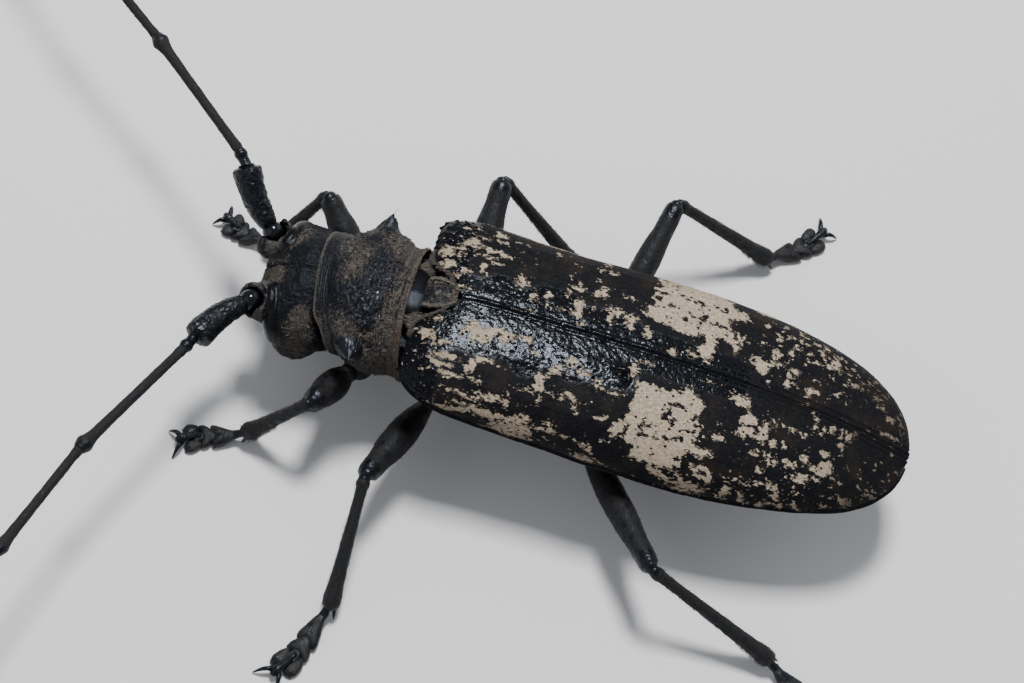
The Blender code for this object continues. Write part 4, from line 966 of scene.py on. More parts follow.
def lip_rows(grid, n):
    """Adds rounded lips round the edges of a wing case's outer sheet."""
    def lip(line, normals, out, radius, steps):
        made = []
        for k in range(1, steps + 1):
            bend = math.pi / 2 * k / steps
            made.append((line + out * radius * math.sin(bend) - normals * radius * (1 - math.cos(bend)),
                         normals * math.cos(bend) + out * math.sin(bend)))
        return made

    (front, rear), (inner, outer) = LIPS
    before = lip(grid[:, 0], n[:, 0], unit(grid[:, 0] - grid[:, 1]), 0.16, inner)[::-1]
    after = lip(grid[:, -1], n[:, -1], unit(grid[:, -1] - grid[:, -2]), 0.2, outer)
    parts = [p[:, None] for p, _ in before] + [grid] + [p[:, None] for p, _ in after]
    turned = [q[:, None] for _, q in before] + [n] + [q[:, None] for _, q in after]
    grid, n = np.concatenate(parts, 1), np.concatenate(turned, 1)
    forward = unit(grid[0] - grid[1]) * 0.5 + np.array([0, -0.5, 0])
    before = lip(grid[0], n[0], forward, 0.42, front)[::-1]
    after = lip(grid[-1], n[-1], unit(grid[-1] - grid[-2]), 0.2, rear)
    parts = [p[None] for p, _ in before] + [grid] + [p[None] for p, _ in after]
    turned = [q[None] for _, q in before] + [n] + [q[None] for _, q in after]
    return np.concatenate(parts, 0), np.concatenate(turned, 0)


# Trunk

def build_scutellum():
    """The tongue between the roots of the wing cases, with a raised downy border."""
    ys = np.linspace(-1.0, 1.35, 48)
    turn = np.linspace(0, 2 * math.pi, 72, endpoint=False)
    u, v = power_curve(turn, 2.6)
    rows = []
    for y in ys:
        half, top = float(along(SCUTELLUM_HALF, y)), float(along(SCUTELLUM_TOP, y))
        hollow = 0.2 * (1 - np.minimum(1, np.abs(u)) ** 4) * (v > 0) * min(1.0, (1.35 - y) * 2)
        rows.append(stack(half * u, y, top - 0.3 + 0.3 * v - hollow))
    grid = np.array(rows)
    share = np.abs(np.broadcast_to(u, grid.shape[:2]))
    rimmed = smooth((share - 0.6) / 0.3) + smooth((grid[..., 1] - 0.75) / 0.3)
    grid = grid + np.array([0, 0, 1.0]) * (0.05 * rough(grid, 0.35, 59))[..., None]
    piece = Piece("scutellum_tongue")
    streak = smooth((0.2 - share) / 0.12) * smooth((grid[..., 1] + 0.5) / 0.4)
    down = np.clip(0.1 + 0.6 * rimmed + 0.7 * streak, 0, 1.2) - 0.25 * (1 - share) * (1 - streak)
    piece.grid(grid, down=down, grey=0.2 * (1 - share))
    piece.build(PAINT["felted"], "scutellum", slot="felted")


def trunk_row(y, turn, lean=0.0, narrow=0.0):
    """Section of the trunk under the wing cases."""
    half = float(along(HALF_WIDTH, max(y, 2.6))) - UNDER_WINGS - narrow
    crest = float(along(CREST, y)) - UNDER_WINGS - 0.3 * narrow
    edge, belly = min(float(along(EDGE, y)), crest - 0.1), float(along(BELLY, y))
    above = np.sin(turn) > 0
    upper, lower = power_curve(turn, ELYTRA_POWER), power_curve(turn, BELLY_POWER)
    u = np.where(above, upper[0], lower[0])
    v = np.where(above, upper[1], lower[1])
    z = edge + v * np.where(above, crest - edge, edge - belly)
    return stack(half * u, y + (crest - z) * math.tan(math.radians(lean)), z)


def build_trunk():
    """Mesothorax, metathorax and abdomen in one skin with the seams of their plates."""
    ys = np.concatenate([
        np.linspace(-2.6, 2.6, 40), np.linspace(2.75, TRUNK_END, 210),
        np.linspace(TRUNK_END + 0.1, TRUNK_END + 0.8, 8),
    ])
    turn = round_turn(TRUNK_COLS, 0.5)
    rows = []
    for y in ys:
        front = float(smooth((2.2 - y) / 3.8))
        row = trunk_row(min(y, TRUNK_END), turn, 12.0 * front, 3.2 * front)
        if y > TRUNK_END:
            shrink = math.sqrt(max(0.02, 1 - ((y - TRUNK_END) / 0.82) ** 2))
            middle = row.mean(0)
            row = middle + (row - middle) * shrink
            row[:, 1] += y - TRUNK_END
        rows.append(row)
    grid = np.array(rows)
    n = outward(grid, True)
    x, y, z = grid[..., 0], grid[..., 1], grid[..., 2]
    under = smooth((-n[..., 2] + 0.15) / 0.4)
    rise = 0.05 * rough(grid, 0.8, 61) + 0.02 * rough(grid, 0.25, 65)
    for seam in TRUNK_SEAMS:
        lip = y - seam - 0.25 * np.cos(x * 0.45)
        rise += under * (0.16 * ridge(lip, -0.25, 0.3) - 0.28 * ridge(lip, 0.08, 0.12))
    rise -= 0.15 * ridge(x, 0, 0.12) * under * ((y > 3.4) & (y < 12.4))
    side_seam = z - (6.6 + 0.06 * (y - 3))
    rise -= 0.2 * ridge(side_seam, 0, 0.12) * ((y > 3.2) & (y < 12.6))
    down = 0.3 + 0.3 * noise(grid, 1.5, 67) + 0.25 * smooth((np.abs(x) - 3.5) / 2)
    # painted shade: less down, so darker, at the front where the trunk shows in the gap behind the
    # pronotum
    down = down - 0.8 * smooth((2.0 - y) / 1.5)
    piece = Piece("trunk_skin")
    piece.grid(grid + n * rise[..., None], down=down, grey=0.4)
    piece.build(PAINT["felted"], "mesothorax", "metathorax", "abdomen", slot="cuticle")


def build_neck():
    """Folded skin between the pronotum and the trunk."""
    u, v = power_curve(round_turn(TRUNK_COLS, 0.5), BELLY_POWER)
    lean = math.sin(math.radians(12)) * 2.9
    rows = []
    for k, y in enumerate(np.linspace(NECK_FRONT, NECK_REAR, 44)):
        fold = 0.13 * math.sin(k * 0.9)
        rows.append(stack((NECK_HALF + fold) * u, y - lean * v, NECK_HEIGHT + (NECK_DEEP + fold) * v))
    grid = np.array(rows)
    grid = grid + outward(grid, True) * (0.1 * rough(grid, 0.7, 71))[..., None]
    piece = Piece("neck_skin")
    piece.grid(grid)
    piece.build(PAINT["membrane"], slot="cuticle")


def build_fore_plate():
    """The smooth plate in front of the scutellum and the two mounds beside it."""
    turn = round_turn(TRUNK_COLS, 0.5)
    piece = Piece("fore_plate")
    rows = []
    for k in range(24):
        bend = math.pi / 2 * (k + 0.3) / 24
        ring = stack(1.9 * math.sin(bend) * np.cos(turn), -1.6 + 1.1 * math.sin(bend) * np.sin(turn),
                     11.72 + 0.4 * math.cos(bend))
        ring[:, 2] += 0.06 * ridge(ring[:, 0], 0.12, 0.07)
        rows.append(ring)
    plate = np.array(rows)
    # painted light: lit marks the part of the plate painted with a sheen; the rest is painted black as
    # shade
    lit = smooth((plate[..., 0] + 0.1) / 0.4) * smooth((1.5 - plate[..., 0]) / 0.5)
    piece.grid(plate, lit=lit * smooth((-0.6 - plate[..., 1]) / 0.5))
    piece.build(PAINT["plate"], slot="cuticle")

    piece = Piece("fore_mounds")
    for _, side in SIDES:
        mound = ball_grid(side_point(side, FORE_MOUND), FORE_MOUND_SIZE, 24, 36)
        piece.grid(roughen(mound, 0.03, 0.05, 75), down=0.55)
    piece.build(PAINT["felted"], slot="felted")


def pronotum_grid(ys, cols):
    """Plain barrel of the pronotum, with the turn of each point."""
    turn = round_turn(cols, 0.5)
    u, v = power_curve(turn, PRONOTUM_POWER)
    rows = []
    for y in ys:
        half, deep = float(along(PRONOTUM_HALF, y)), float(along(PRONOTUM_DEEP, y)) / 2
        tilt = math.radians(float(along(PRONOTUM_TILT, y)))
        up = np.array([0, -math.sin(tilt), math.cos(tilt)])
        middle = np.array([0, y, float(along(PRONOTUM_TOP, y))]) - up * deep
        rows.append(middle + stack(half * u, 0, 0) + up * deep * v[:, None])
    return np.array(rows), turn


def neck_line(x):
    """How far the border between head and pronotum lies behind a level ring at a place across."""
    return 0.24 + 0.09 * x + 0.45 * smooth((x - 3.0) / 1.2)


def pull_spines(grid):
    """Draws the two side spines out of the pronotum, and says how far each point is part of one."""
    shine = np.zeros(grid.shape[:2])
    for _, side in SIDES:
        root, tip = side_point(side, SPINE_ROOT), side_point(side, SPINE_TIP)
        axis = unit(tip - root)
        run = (grid - root) @ axis
        away = np.linalg.norm(grid - root - run[..., None] * axis, axis=-1)
        outer = run > 0
        near = np.where(outer, away, 9.0)
        foot = np.unravel_index(np.argmin(near), near.shape)
        tall = float((tip - grid[foot]) @ axis)
        pull = np.where(outer, np.clip(1 - near / SPINE_WIDE, 0, 1), 0)
        lift = tall * (0.25 * pull ** 2 + 0.75 * pull ** 1.5) * outer
        grid = grid + axis * lift[..., None]
        shine = np.maximum(shine, smooth((pull - 0.04) / 0.3))
    return grid, shine


def build_pronotum():
    """The barrel behind the head: folds, wrinkles, granules and two spines."""
    ys = np.linspace(PRONOTUM_FRONT, PRONOTUM_REAR + 0.2, PRONOTUM_ROWS)
    grid, turn = pronotum_grid(ys, PRONOTUM_COLS)
    grid[..., 1] += neck_line(grid[..., 0]) * smooth((-6.2 - ys) / 2.7)[:, None]
    n = outward(grid, True)
    at = np.broadcast_to(ys[:, None], grid.shape[:2])
    x = grid[..., 0]
    top = smooth((np.sin(turn)[None] + 0.35) / 0.6) * np.ones_like(at)
    disc = smooth((at + 8.0) / 0.5) * smooth((-2.6 - at) / 0.4)
    wavy = at + 0.12 * noise(grid, 1.2, 81)
    rise = sum(high * ridge(wavy, middle, wide) for high, middle, wide in PRONOTUM_FOLDS)
    flat = grid * np.array([0.6, 1.35, 0.8])
    wrinkle = 1 - np.abs(rough(flat + 0.3 * noise(grid, 0.9, 85)[..., None], 0.7, 83, 3))
    rise += disc * 0.15 * (wrinkle - 0.6)
    away, draw = cells(grid, 0.3, 87)
    grains = smooth((0.48 - away) / 0.3) * (draw < 0.7)
    rise += (0.25 + 0.75 * disc) * 0.055 * grains
    rise += disc * 0.045 * rough(grid, 0.3, 95, 2)
    rise += disc * top * 0.25 * noise(grid * np.array([1, 0.8, 1]), 2.1, 89)
    rise += np.sin(at * 34 + 3 * noise(grid, 0.9, 91)) * (1 - disc) * 0.018
    grid = grid + n * rise[..., None]
    grid, shine = pull_spines(grid)
    hollow = np.clip(0.5 - rise * 2.2, 0, 1)
    spread = patches(PRONOTUM_PATCHES, x, at) * smooth((n[..., 2] + 0.2) / 0.4)
    # the collar gets more grey down: partly its real grey down, partly a painted sheen that lightens it
    collar = 1 - smooth((at + 8.0) / 0.5)
    down = -0.05 + 0.35 * hollow * disc + 0.25 * smooth((np.abs(x) - 2.8) / 1.5)
    down = down + 0.3 * noise(grid, 1.3, 97) + 0.7 * spread - 1.2 * shine + 0.1 * collar * top
    down = down + 0.4 * smooth((at + 3.1) / 0.3)
    middle = np.exp(-((x - 1.5) / 2.2) ** 2 - ((at + 4.2) / 1.2) ** 2)
    gloss = np.clip(0.3 * shine + grains * (0.2 + 0.8 * middle) * top, 0, 1)
    rear = smooth((at + 2.45) / 0.15) + ridge(at, PRONOTUM_FRONT, 0.1)
    down = down + 0.7 * rear
    piece = Piece("pronotum_shell")
    first = inward_rows(grid[0], np.array([0, 1.0, 0]), (0.18, 0.5, 0.9), (0.985, 0.94, 0.9))
    last = inward_rows(grid[-1], np.array([0, -1.0, 0]), (-0.05, 0.0, 0.5, 1.2),
                       (0.992, 0.972, 0.93, 0.88))
    whole = np.concatenate([first[::-1], grid, last], 0)

    def extend(v):
        return np.pad(v, ((len(first), len(last)), (0, 0)), mode="edge")

    amber = np.zeros(whole.shape[:2])
    amber[-len(last):] = np.array([0.6, 0.9, 0.6, 0.2])[:, None]
    amber[-len(last) - 6:-len(last)] = 0.8 * smooth((np.abs(x[-1]) - 2.4) / 0.8)
    # grey on the collar: real grey down plus a painted sheen
    grey = np.clip(extend(0.15 + 0.3 * noise(grid, 1.6, 93) + 0.6 * collar - 0.4 * rear), 0, 1)
    piece.grid(whole, down=extend(down), grey=grey, amber=amber, gloss=extend(gloss))
    piece.build(PAINT["felted"], "pronotum", slot="felted")
    return grid, down - 0.3 * grains - 2.0 * (at < -7.9) - 0.5 * middle


def inward_rows(ring, back, shifts, scales):
    """Rows that fold a barrel's end inward."""
    middle = ring.mean(0)
    return np.array([
        middle + (ring - middle) * scale + back * shift for shift, scale in zip(shifts, scales)
    ])


# Head

def temporary(name, grid):
    """A closed object in millimetres from a tube-like grid, for joining and cutting."""
    piece = Piece(name)
    piece.grid(grid)
    return link(name, piece.mesh(np.concatenate(piece.points)))


def carve(base, joined, cut, voxel, rounds):
    """Joins and cuts closed objects, and gives the points, faces and normals of one fine skin."""
    steps = []
    for operation, others in (("UNION", joined), ("DIFFERENCE", cut)):
        if not others:
            continue
        group = bpy.data.collections.new("set")
        for other in others:
            bpy.context.scene.collection.objects.unlink(other)
            group.objects.link(other)
        bpy.context.scene.collection.children.link(group)
        boolean = base.modifiers.new(operation, "BOOLEAN")
        boolean.operation, boolean.operand_type, boolean.collection = operation, "COLLECTION", group
        boolean.solver = "EXACT"
        steps.append(group)
    remesh = base.modifiers.new("skin", "REMESH")
    remesh.mode, remesh.voxel_size = "VOXEL", voxel
    ease = base.modifiers.new("ease", "SMOOTH")
    ease.factor, ease.iterations = 0.5, rounds
    mesh = bpy.data.meshes.new_from_object(base.evaluated_get(bpy.context.evaluated_depsgraph_get()))
    points = np.empty(len(mesh.vertices) * 3)
    mesh.vertices.foreach_get("co", points)
    normals = np.empty(len(mesh.vertices) * 3)
    mesh.vertex_normals.foreach_get("vector", normals)
    faces = [list(f.vertices) for f in mesh.polygons]
    bpy.data.meshes.remove(mesh)
    for made in list(joined) + list(cut) + [base]:
        old = made.data
        bpy.data.objects.remove(made)
        bpy.data.meshes.remove(old)
    for group in steps:
        bpy.data.collections.remove(group)
    return points.reshape(-1, 3), faces, normals.reshape(-1, 3)


def ball_grid(centre, size, rows=14, cols=20):
    """Grid of an ellipsoid."""
    bend = np.linspace(0.05, math.pi - 0.05, rows)[:, None]
    turn = np.linspace(0, 2 * math.pi, cols, endpoint=False)[None]
    size = np.broadcast_to(np.asarray(size, float), (3,))
    ball = stack(np.sin(bend) * np.cos(turn), np.sin(bend) * np.sin(turn), -np.cos(bend))
    return np.asarray(centre) + size * ball


def head_back(z):
    """How far back the head reaches at a height."""
    tilt = math.radians(PRONOTUM_TILT[0][1])
    return PRONOTUM_FRONT + 0.25 + (PRONOTUM_TOP[0][1] - z) * math.tan(tilt)


def eye_share(points, n, side):
    """How far inside an eye's outline each point of the head is, and the outline's half width there."""
    line, share = dense([side_point(side, p) for p in EYE_PATH], 0.08)
    halves = along([(k / (len(EYE_HALF) - 1), r) for k, r in enumerate(EYE_HALF)], share)
    best, half = np.full(len(points), -9.0), np.ones(len(points))
    for c, r in zip(line, halves):
        off = points - c
        off = off - n * (0.7 * np.sum(off * n, axis=1))[:, None]
        inside = 1 - np.linalg.norm(off, axis=1) / r
        half = np.where(inside > best, r, half)
        best = np.maximum(best, inside)
    return best, half


def head_shape():
    """Points, faces and normals of the head with raised feeler sockets and their cups."""
    turn = round_turn(72, 0.5)
    rows = []
    for z in np.linspace(3.95, 10.95, 60):
        front, back, half = float(along(FACE, z)), head_back(z), float(along(HEAD_HALF, z))
        cheek, face = power_curve(turn, CHEEK_POWER), power_curve(turn, FACE_POWER)
        rear = np.sin(turn) > 0
        u, v = np.where(rear, cheek[0], face[0]), np.where(rear, cheek[1], face[1])
        y = (front + back) / 2 + (back - front) / 2 * v
        y = y + neck_line(half * u) * smooth((y - back + 1.6) / 1.6)
        rows.append(stack(half * u, y, z))
    base = temporary("head_base", np.array(rows))
    joined, cut = [], []
    for feeler in FEELERS:
        side = feeler[1]
        joints = feeler_joints(*feeler[1:])
        root, rim = side_point(side, SOCKET_ROOT), side_point(side, SOCKET)
        socket = limb(root, rim, SOCKET_RADII, sides=40, end=(0.8, 0.2))
        joined.append(temporary("socket", socket))
        lobe = ball_grid(side_point(side, TUBERCLE_LOBE), TUBERCLE_SIZE, 24, 36)
        joined.append(temporary("lobe", lobe))
        line, share = dense([side_point(side, p) for p in CHEEK_PATH], 0.1)
        joined.append(temporary("cheek", tube(line, 0.7 + 0.35 * np.sin(math.pi * share), sides=30)))
        cut.append(temporary("cup", ball_grid(rim, CONDYLE_RADIUS + 0.15, 20, 30)))
        above = rim + side_point(side, (-0.15, -0.32, 0.34))
        top = above + side_point(side, (0.5, 0.0, 2.6))
        room = limb(above, top, ((0.0, 1.3), (1.0, 1.5)), sides=40, end=(0.15, 0.5))
        cut.append(temporary("above", room))
        way = unit(joints[1] - joints[0])
        cut.append(temporary("way", limb(rim, rim + way * 2.5, ((0.0, 0.85), (1.0, 1.25)), sides=30)))
    return carve(base, joined, cut, HEAD_VOXEL, HEAD_ROUNDS)


def build_head():
    """Head skin with its creases, seams and down, and the eyes."""
    points, faces, n = head_shape()
    x, y, z = points.T
    crown = smooth((n[:, 2] - 0.1) / 0.5)
    vertex_line = np.exp(-((x + 0.1 * noise(points, 0.9, 99)) / 0.08) ** 2) * smooth((z - 6.5) / 2)
    rise = -0.09 * vertex_line + 0.05 * ridge(np.abs(x), 0.2, 0.12) * crown
    rise += 0.06 * rough(points, 0.9, 101) + 0.03 * rough(points, 0.3, 105)
    creases = 1 - np.abs(rough(points * np.array([1.0, 0.7, 1.0]), 0.8, 103, 3))
    rise += 0.07 * (creases - 0.6) * crown
    away, draw = cells(points, 0.3, 107)
    rise -= 0.035 * smooth((0.34 - away) / 0.25) * (draw < 0.6)
    face_line = z - 5.3 + 0.25 * np.abs(x)
    rise -= 0.1 * ridge(face_line, 0, 0.1) * smooth((-y - 9.8) / 0.4) * (np.abs(x) < 2.2)
    behind = smooth((y + 10.4) / 0.8)
    spread = patches(HEAD_PATCHES, x, y) * smooth((n[:, 2] + 0.3) / 0.4)
    down = -0.1 + 0.35 * noise(points, 1.4, 109) + 0.7 * spread - 0.5 * vertex_line
    tubercle = np.zeros_like(x)
    cup = np.zeros_like(x)
    quads = np.array(faces)
    for word, side in SIDES:
        rim = side_point(side, SOCKET)
        away = np.linalg.norm(points - rim, axis=1)
        tubercle = np.maximum(tubercle, smooth((2.1 - away) / 0.7))
        cup = np.maximum(cup, smooth((CONDYLE_RADIUS + 0.33 - away) / 0.1))
        inside, half = eye_share(points, n, side)
        lift = 0.36 * half * (1 - (1 - np.clip(inside, -0.2, 1)) ** 2) - 0.05
        used = quads[(inside[quads] > -0.2).all(axis=1)]
        kept, where = np.unique(used, return_inverse=True)
        eye = Piece(f"eye_{word}_facets")
        eye.raw((points + n * lift[:, None])[kept], where.reshape(used.shape).tolist())
        eye.build(PAINT["eye"], f"eye_{word}", slot="eye")
        outside = -inside * half
        rise = rise - 0.15 * smooth(inside / 0.2) + 0.05 * ridge(outside, 0.12, 0.08)
        down = down - 0.8 * ridge(outside, 0, 0.12)
    front = smooth((-12.75 - y) / 0.3)
    down = down + 0.8 * tubercle - 0.8 * front - 1.5 * cup
    grey = np.clip(0.1 + 0.8 * tubercle * (1 - behind) + 0.2 * noise(points, 1.0, 111), 0, 1)
    skin = points + n * rise[:, None]
    piece = Piece("head_skin")
    piece.raw(skin, faces, down=down, grey=grey, gloss=-0.08)
    piece.build(PAINT["felted"], "head", slot="felted")
    hair_on_head(skin, n, down - 2.0 * tubercle)
    build_mouth()


def build_mouth():
    """Upper lip, jaws and palps."""
    lip = Piece("labrum_plate")
    turn = round_turn(48)
    u, v = power_curve(turn, 3.0)
    rows = []
    for t in np.linspace(0, 1, 16):
        wide = 1.35 * float(along(LIP_SHARES, t))
        thick = 0.2 * math.sqrt(max(0.1, 1 - t ** 4))
        rows.append(stack(wide * u, -10.05 - 0.12 * math.sin(math.pi * t) + thick * v,
                          3.95 - 1.3 * t + 0.12 * np.abs(u) * t))
    lip.grid(np.array(rows), down=0.3)
    lip.build(PAINT["cuticle"], "labrum", slot="cuticle")
    for word, side in SIDES:
        line, share = dense([side_point(side, p) for p in JAW_PATH], 0.06)
        piece = Piece(f"mandible_{word}_jaw")
        piece.grid(tube(line, along(JAW_RADII, share), sides=28, deeper=0.8))
        piece.build(PAINT["gloss"], f"mandible_{word}", slot="cuticle")
        line, share = dense([side_point(side, p) for p in PALP_PATH], 0.05)
        beads = 0.27 + 0.05 * np.abs(np.sin(share * math.pi * 3.5)) - 0.06 * (share > 0.96)
        piece = Piece(f"palp_{word}_beads")
        piece.grid(tube(line, beads, sides=20), down=0.3)
        piece.build(PAINT["cuticle"], f"palp_{word}", slot="cuticle")


# Limbs

def roughen(grid, fine, coarse, seed):
    """A grid with small relief of two sizes."""
    n = outward(grid, True)
    return grid + n * (coarse * rough(grid, 0.8, seed) + fine * rough(grid, 0.25, seed + 5))[..., None]


def build_leg(name, side, hip, knee, ankle, toe, foot_bow):
    """One leg in one skin, with its joints, spurs, foot and claws."""
    hip, knee, ankle = side_point(side, hip), np.array(knee, float), np.array(ankle, float)
    out, down = unit(knee - hip), unit(ankle - knee)
    stout = FEMUR_STOUT[name.split("_")[0]]
    femur = [(t, r * stout) for t, r in FEMUR_RADII]
    joint = hip + out * TROCHANTER_REACH
    piece = Piece(f"{name}_skin")
    piece.grid(roughen(ball_grid(hip, HIP_RADIUS, 24, 36), 0.015, 0.03, LEG_SEED), down=0.5)
    piece.grid(limb(hip, joint + out * 0.15, TROCHANTER_RADII, sides=36), down=0.4)
    thigh = limb(joint + out * 0.2, knee - out * 0.15, femur, sides=44, deeper=1.15, end=(0.8, 0.7))
    t = shares(thigh)
    hollow = smooth((t - 0.86) / 0.08) * smooth((0.985 - t) / 0.04)
    n = outward(thigh, True)
    inner = smooth((n @ down - 0.55) / 0.3)
    thigh = thigh - n * (0.28 * hollow * inner)[..., None]
    piece.grid(roughen(thigh, 0.012, 0.02, LEG_SEED + 1), down=0.62 - 0.75 * smooth((t - 0.84) / 0.08))
    shin_start = knee + down * 0.18
    shin = limb(shin_start, ankle, TIBIA_RADII, sides=36, deeper=1.08, end=(0.9, 0.5))
    t = shares(shin)
    bare = smooth((0.07 - t) / 0.03)
    piece.grid(roughen(shin, 0.012, 0.015, LEG_SEED + 2), down=0.66 - 0.9 * bare,
               ochre=0.7 * smooth((t - 0.9) / 0.08))
    across = unit(np.cross(down, (0, 0, 1)))
    over = np.cross(across, down)
    for turn in (-1, 1):
        lean = unit(down + across * turn * 0.55 - over * 0.35)
        tip = ankle + lean * 1.0
        tip[2] = max(tip[2], 0.12)
        base = ankle - down * 0.2 + across * turn * 0.3
        piece.grid(limb(base, tip, SPUR_RADII, sides=14, step=0.08))
    foot_at = build_foot(piece, ankle, toe, foot_bow)
    link_at = foot_at(-0.1, 0.0, 0.78)
    piece.grid(limb(ankle - down * 0.4, link_at, ANKLE_RADII, step=0.08, sides=24), down=0.2)
    nodes = [f"{name}_{part}" for part in ("coxa", "femur", "tibia", "tarsus")]
    piece.build(PAINT["cuticle"], *nodes, slot="cuticle", sharp=70)
    return {
        "front": name.startswith("fore"), "thigh": thigh, "shin": shin, "down": down,
        "foot_at": foot_at,
    }


def build_foot(piece, ankle, toe, bow):
    """Foot segments, the third in two lobes, a slender claw segment and two claws."""
    level = np.array([toe[0] - ankle[0], toe[1] - ankle[1], 0.0])
    length = np.linalg.norm(level)
    scale = (length - FOOT_START) / FOOT_LENGTH
    ahead = level / length
    across = np.array([ahead[1], -ahead[0], 0.0])
    start = np.array([ankle[0], ankle[1], 0.0]) + ahead * FOOT_START

    def at(s, aside, height):
        s, aside = np.asarray(s, float), np.asarray(aside, float)
        aside = aside + bow * np.sin(math.pi * np.clip(s, 0, FOOT_LENGTH) / FOOT_LENGTH)
        return start + ahead * (s * scale)[..., None] + across * aside[..., None] + stack(0, 0, height)

    turn = round_turn(32)
    u, v = power_curve(turn, 2.3)

    def loft(stations, notch=0.0, middle=0.0):
        first, last = stations[0][0], stations[-1][0]
        rows = []
        for s in np.linspace(first, last, max(10, int((last - first) / 0.07))):
            half = along([(a, b) for a, b, _, _ in stations], s)
            low = along([(a, c) for a, _, c, _ in stations], s)
            high = along([(a, d) for a, _, _, d in stations], s)
            share = (s - first) / (last - first)
            back = notch * smooth((share - 0.5) / 0.5) * (np.abs(u) ** 1.5 - 0.4)
            rows.append(at(s + back, middle + half * u, (low + high) / 2 + (high - low) / 2 * v))
        return np.array(rows)

    for notch, stations in FOOT_SEGMENTS:
        piece.grid(loft(stations, notch), down=0.5, ochre=0.2)
    for _, side in SIDES:
        piece.grid(loft(FOOT_LOBE, 0.0, side * 0.6), down=0.5, ochre=0.3)
        s = np.linspace(0, 1, 26)  # a claw
        arch = 0.5 + 0.3 * np.sin(math.pi * s ** 0.8) - 0.38 * s ** 2
        line = at(5.15 + 1.15 * s, side * (0.12 + 0.95 * s ** 0.8), arch)
        piece.grid(tube(line, 0.19 * (1 - s) ** 0.7 + 0.035, sides=16), down=-1.0)
    s = np.linspace(0, 1, 34)
    line = at(3.3 + 2.15 * s, 0 * s, 0.62 + 0.35 * np.sin(math.pi * s * 0.62) - 0.25 * s)
    piece.grid(tube(line, along(CLAW_SEGMENT_RADII, s), sides=24), down=0.35)
    return at


def feeler_joints(side, turns, heights):
    """The joints of a feeler from its socket outward."""
    joint = side_point(side, SOCKET)
    joints = [joint]
    for length, turn, height in zip(SEGMENT_LENGTHS, turns, heights):
        rise = height - joint[2]
        level = math.sqrt(length * length - rise * rise)
        angle = math.radians(turn)
        joint = joint + np.array([side * level * math.cos(angle), -level * math.sin(angle), rise])
        joints.append(joint)
    return joints


def build_feeler(name, side, turns, heights):
    """One feeler in one skin: condyle, wrinkled scape, small segment and knobbed segments."""
    joints = feeler_joints(side, turns, heights)
    ahead = unit(joints[1] - joints[0])
    bow = unit(np.array([side * ahead[1], -side * ahead[0], 0])) * SCAPE_BOW
    gloss = Piece(f"{name}_condyle")
    gloss.grid(ball_grid(joints[0], CONDYLE_RADIUS, 28, 40))
    gloss.build(PAINT["gloss"], slot="feeler")
    piece = Piece(f"{name}_skin")
    scape = limb(joints[0] + ahead * 0.1, joints[1] - ahead * SCAPE_STOP, SCAPE_RADII, step=0.07,
                 bow=bow, sides=84, end=(0.6, 0.3))
    t = shares(scape)
    n = outward(scape, True)
    body = smooth((t - 0.1) / 0.1) * smooth((0.97 - t) / 0.04)
    crease = 1 - np.abs(rough(scape + 0.2 * noise(scape, 0.6, 121)[..., None], 0.45, 123, 3))
    away, _ = cells(scape, 0.27, 127)
    rise = body * (0.09 * (crease - 0.6) + 0.04 * smooth((0.45 - away) / 0.3))
    rise = rise + 0.07 * ridge(t, 0.955, 0.014) - 0.08 * ridge(t, 0.925, 0.014)
    piece.grid(scape + n * rise[..., None], down=np.clip(0.2 - 2.5 * (crease - 0.6), -0.4, 0.45) * body)
    ahead = unit(joints[2] - joints[1])
    small = limb(joints[1] - ahead * 0.5, joints[2] - ahead * 0.05, PEDICEL_RADII, step=0.06,
                 sides=36, end=(0.6, 0.4))
    piece.grid(roughen(small, 0.01, 0.015, 131), down=0.2)
    spans = []
    for k in range(2, len(SEGMENT_LENGTHS)):
        start, stop = joints[k], joints[k + 1]
        ahead = unit(stop - start)
        last = k == len(SEGMENT_LENGTHS) - 1
        length, shaft, knob = SEGMENT_LENGTHS[k], SHAFT_RADII[k], KNOB_RADII[k]
        flare = 1 - KNOB_LENGTH / length
        stations = (
            (0.0, shaft * 0.8), (0.5 / length, shaft * 1.12), (1.1 / length, shaft),
            (flare * 0.6, shaft), (flare, shaft * 1.14), (0.45 + 0.55 * flare, knob * 0.82),
            (1 - 0.5 / length, knob), (1.0, knob * (0.35 if last else 0.72)),
        )
        first = start - ahead * KNOB_RADII[k - 1] * 0.35
        grid = limb(first, stop, stations, step=0.13, sides=28, end=(0.8, 0.5))
        t = shares(grid)
        piece.grid(roughen(grid, 0.008, 0.014, 133 + k), down=0.75 - 0.35 * smooth((t - flare) / 0.1))
        spans.append((first, stop, shaft, k))
    numbers = ["01"] + [f"{k:02d}" for k in range(3, 12)]
    piece.build(PAINT["cuticle"], *[f"{name}_{number}" for number in numbers], slot="feeler")
    return spans


# Hair

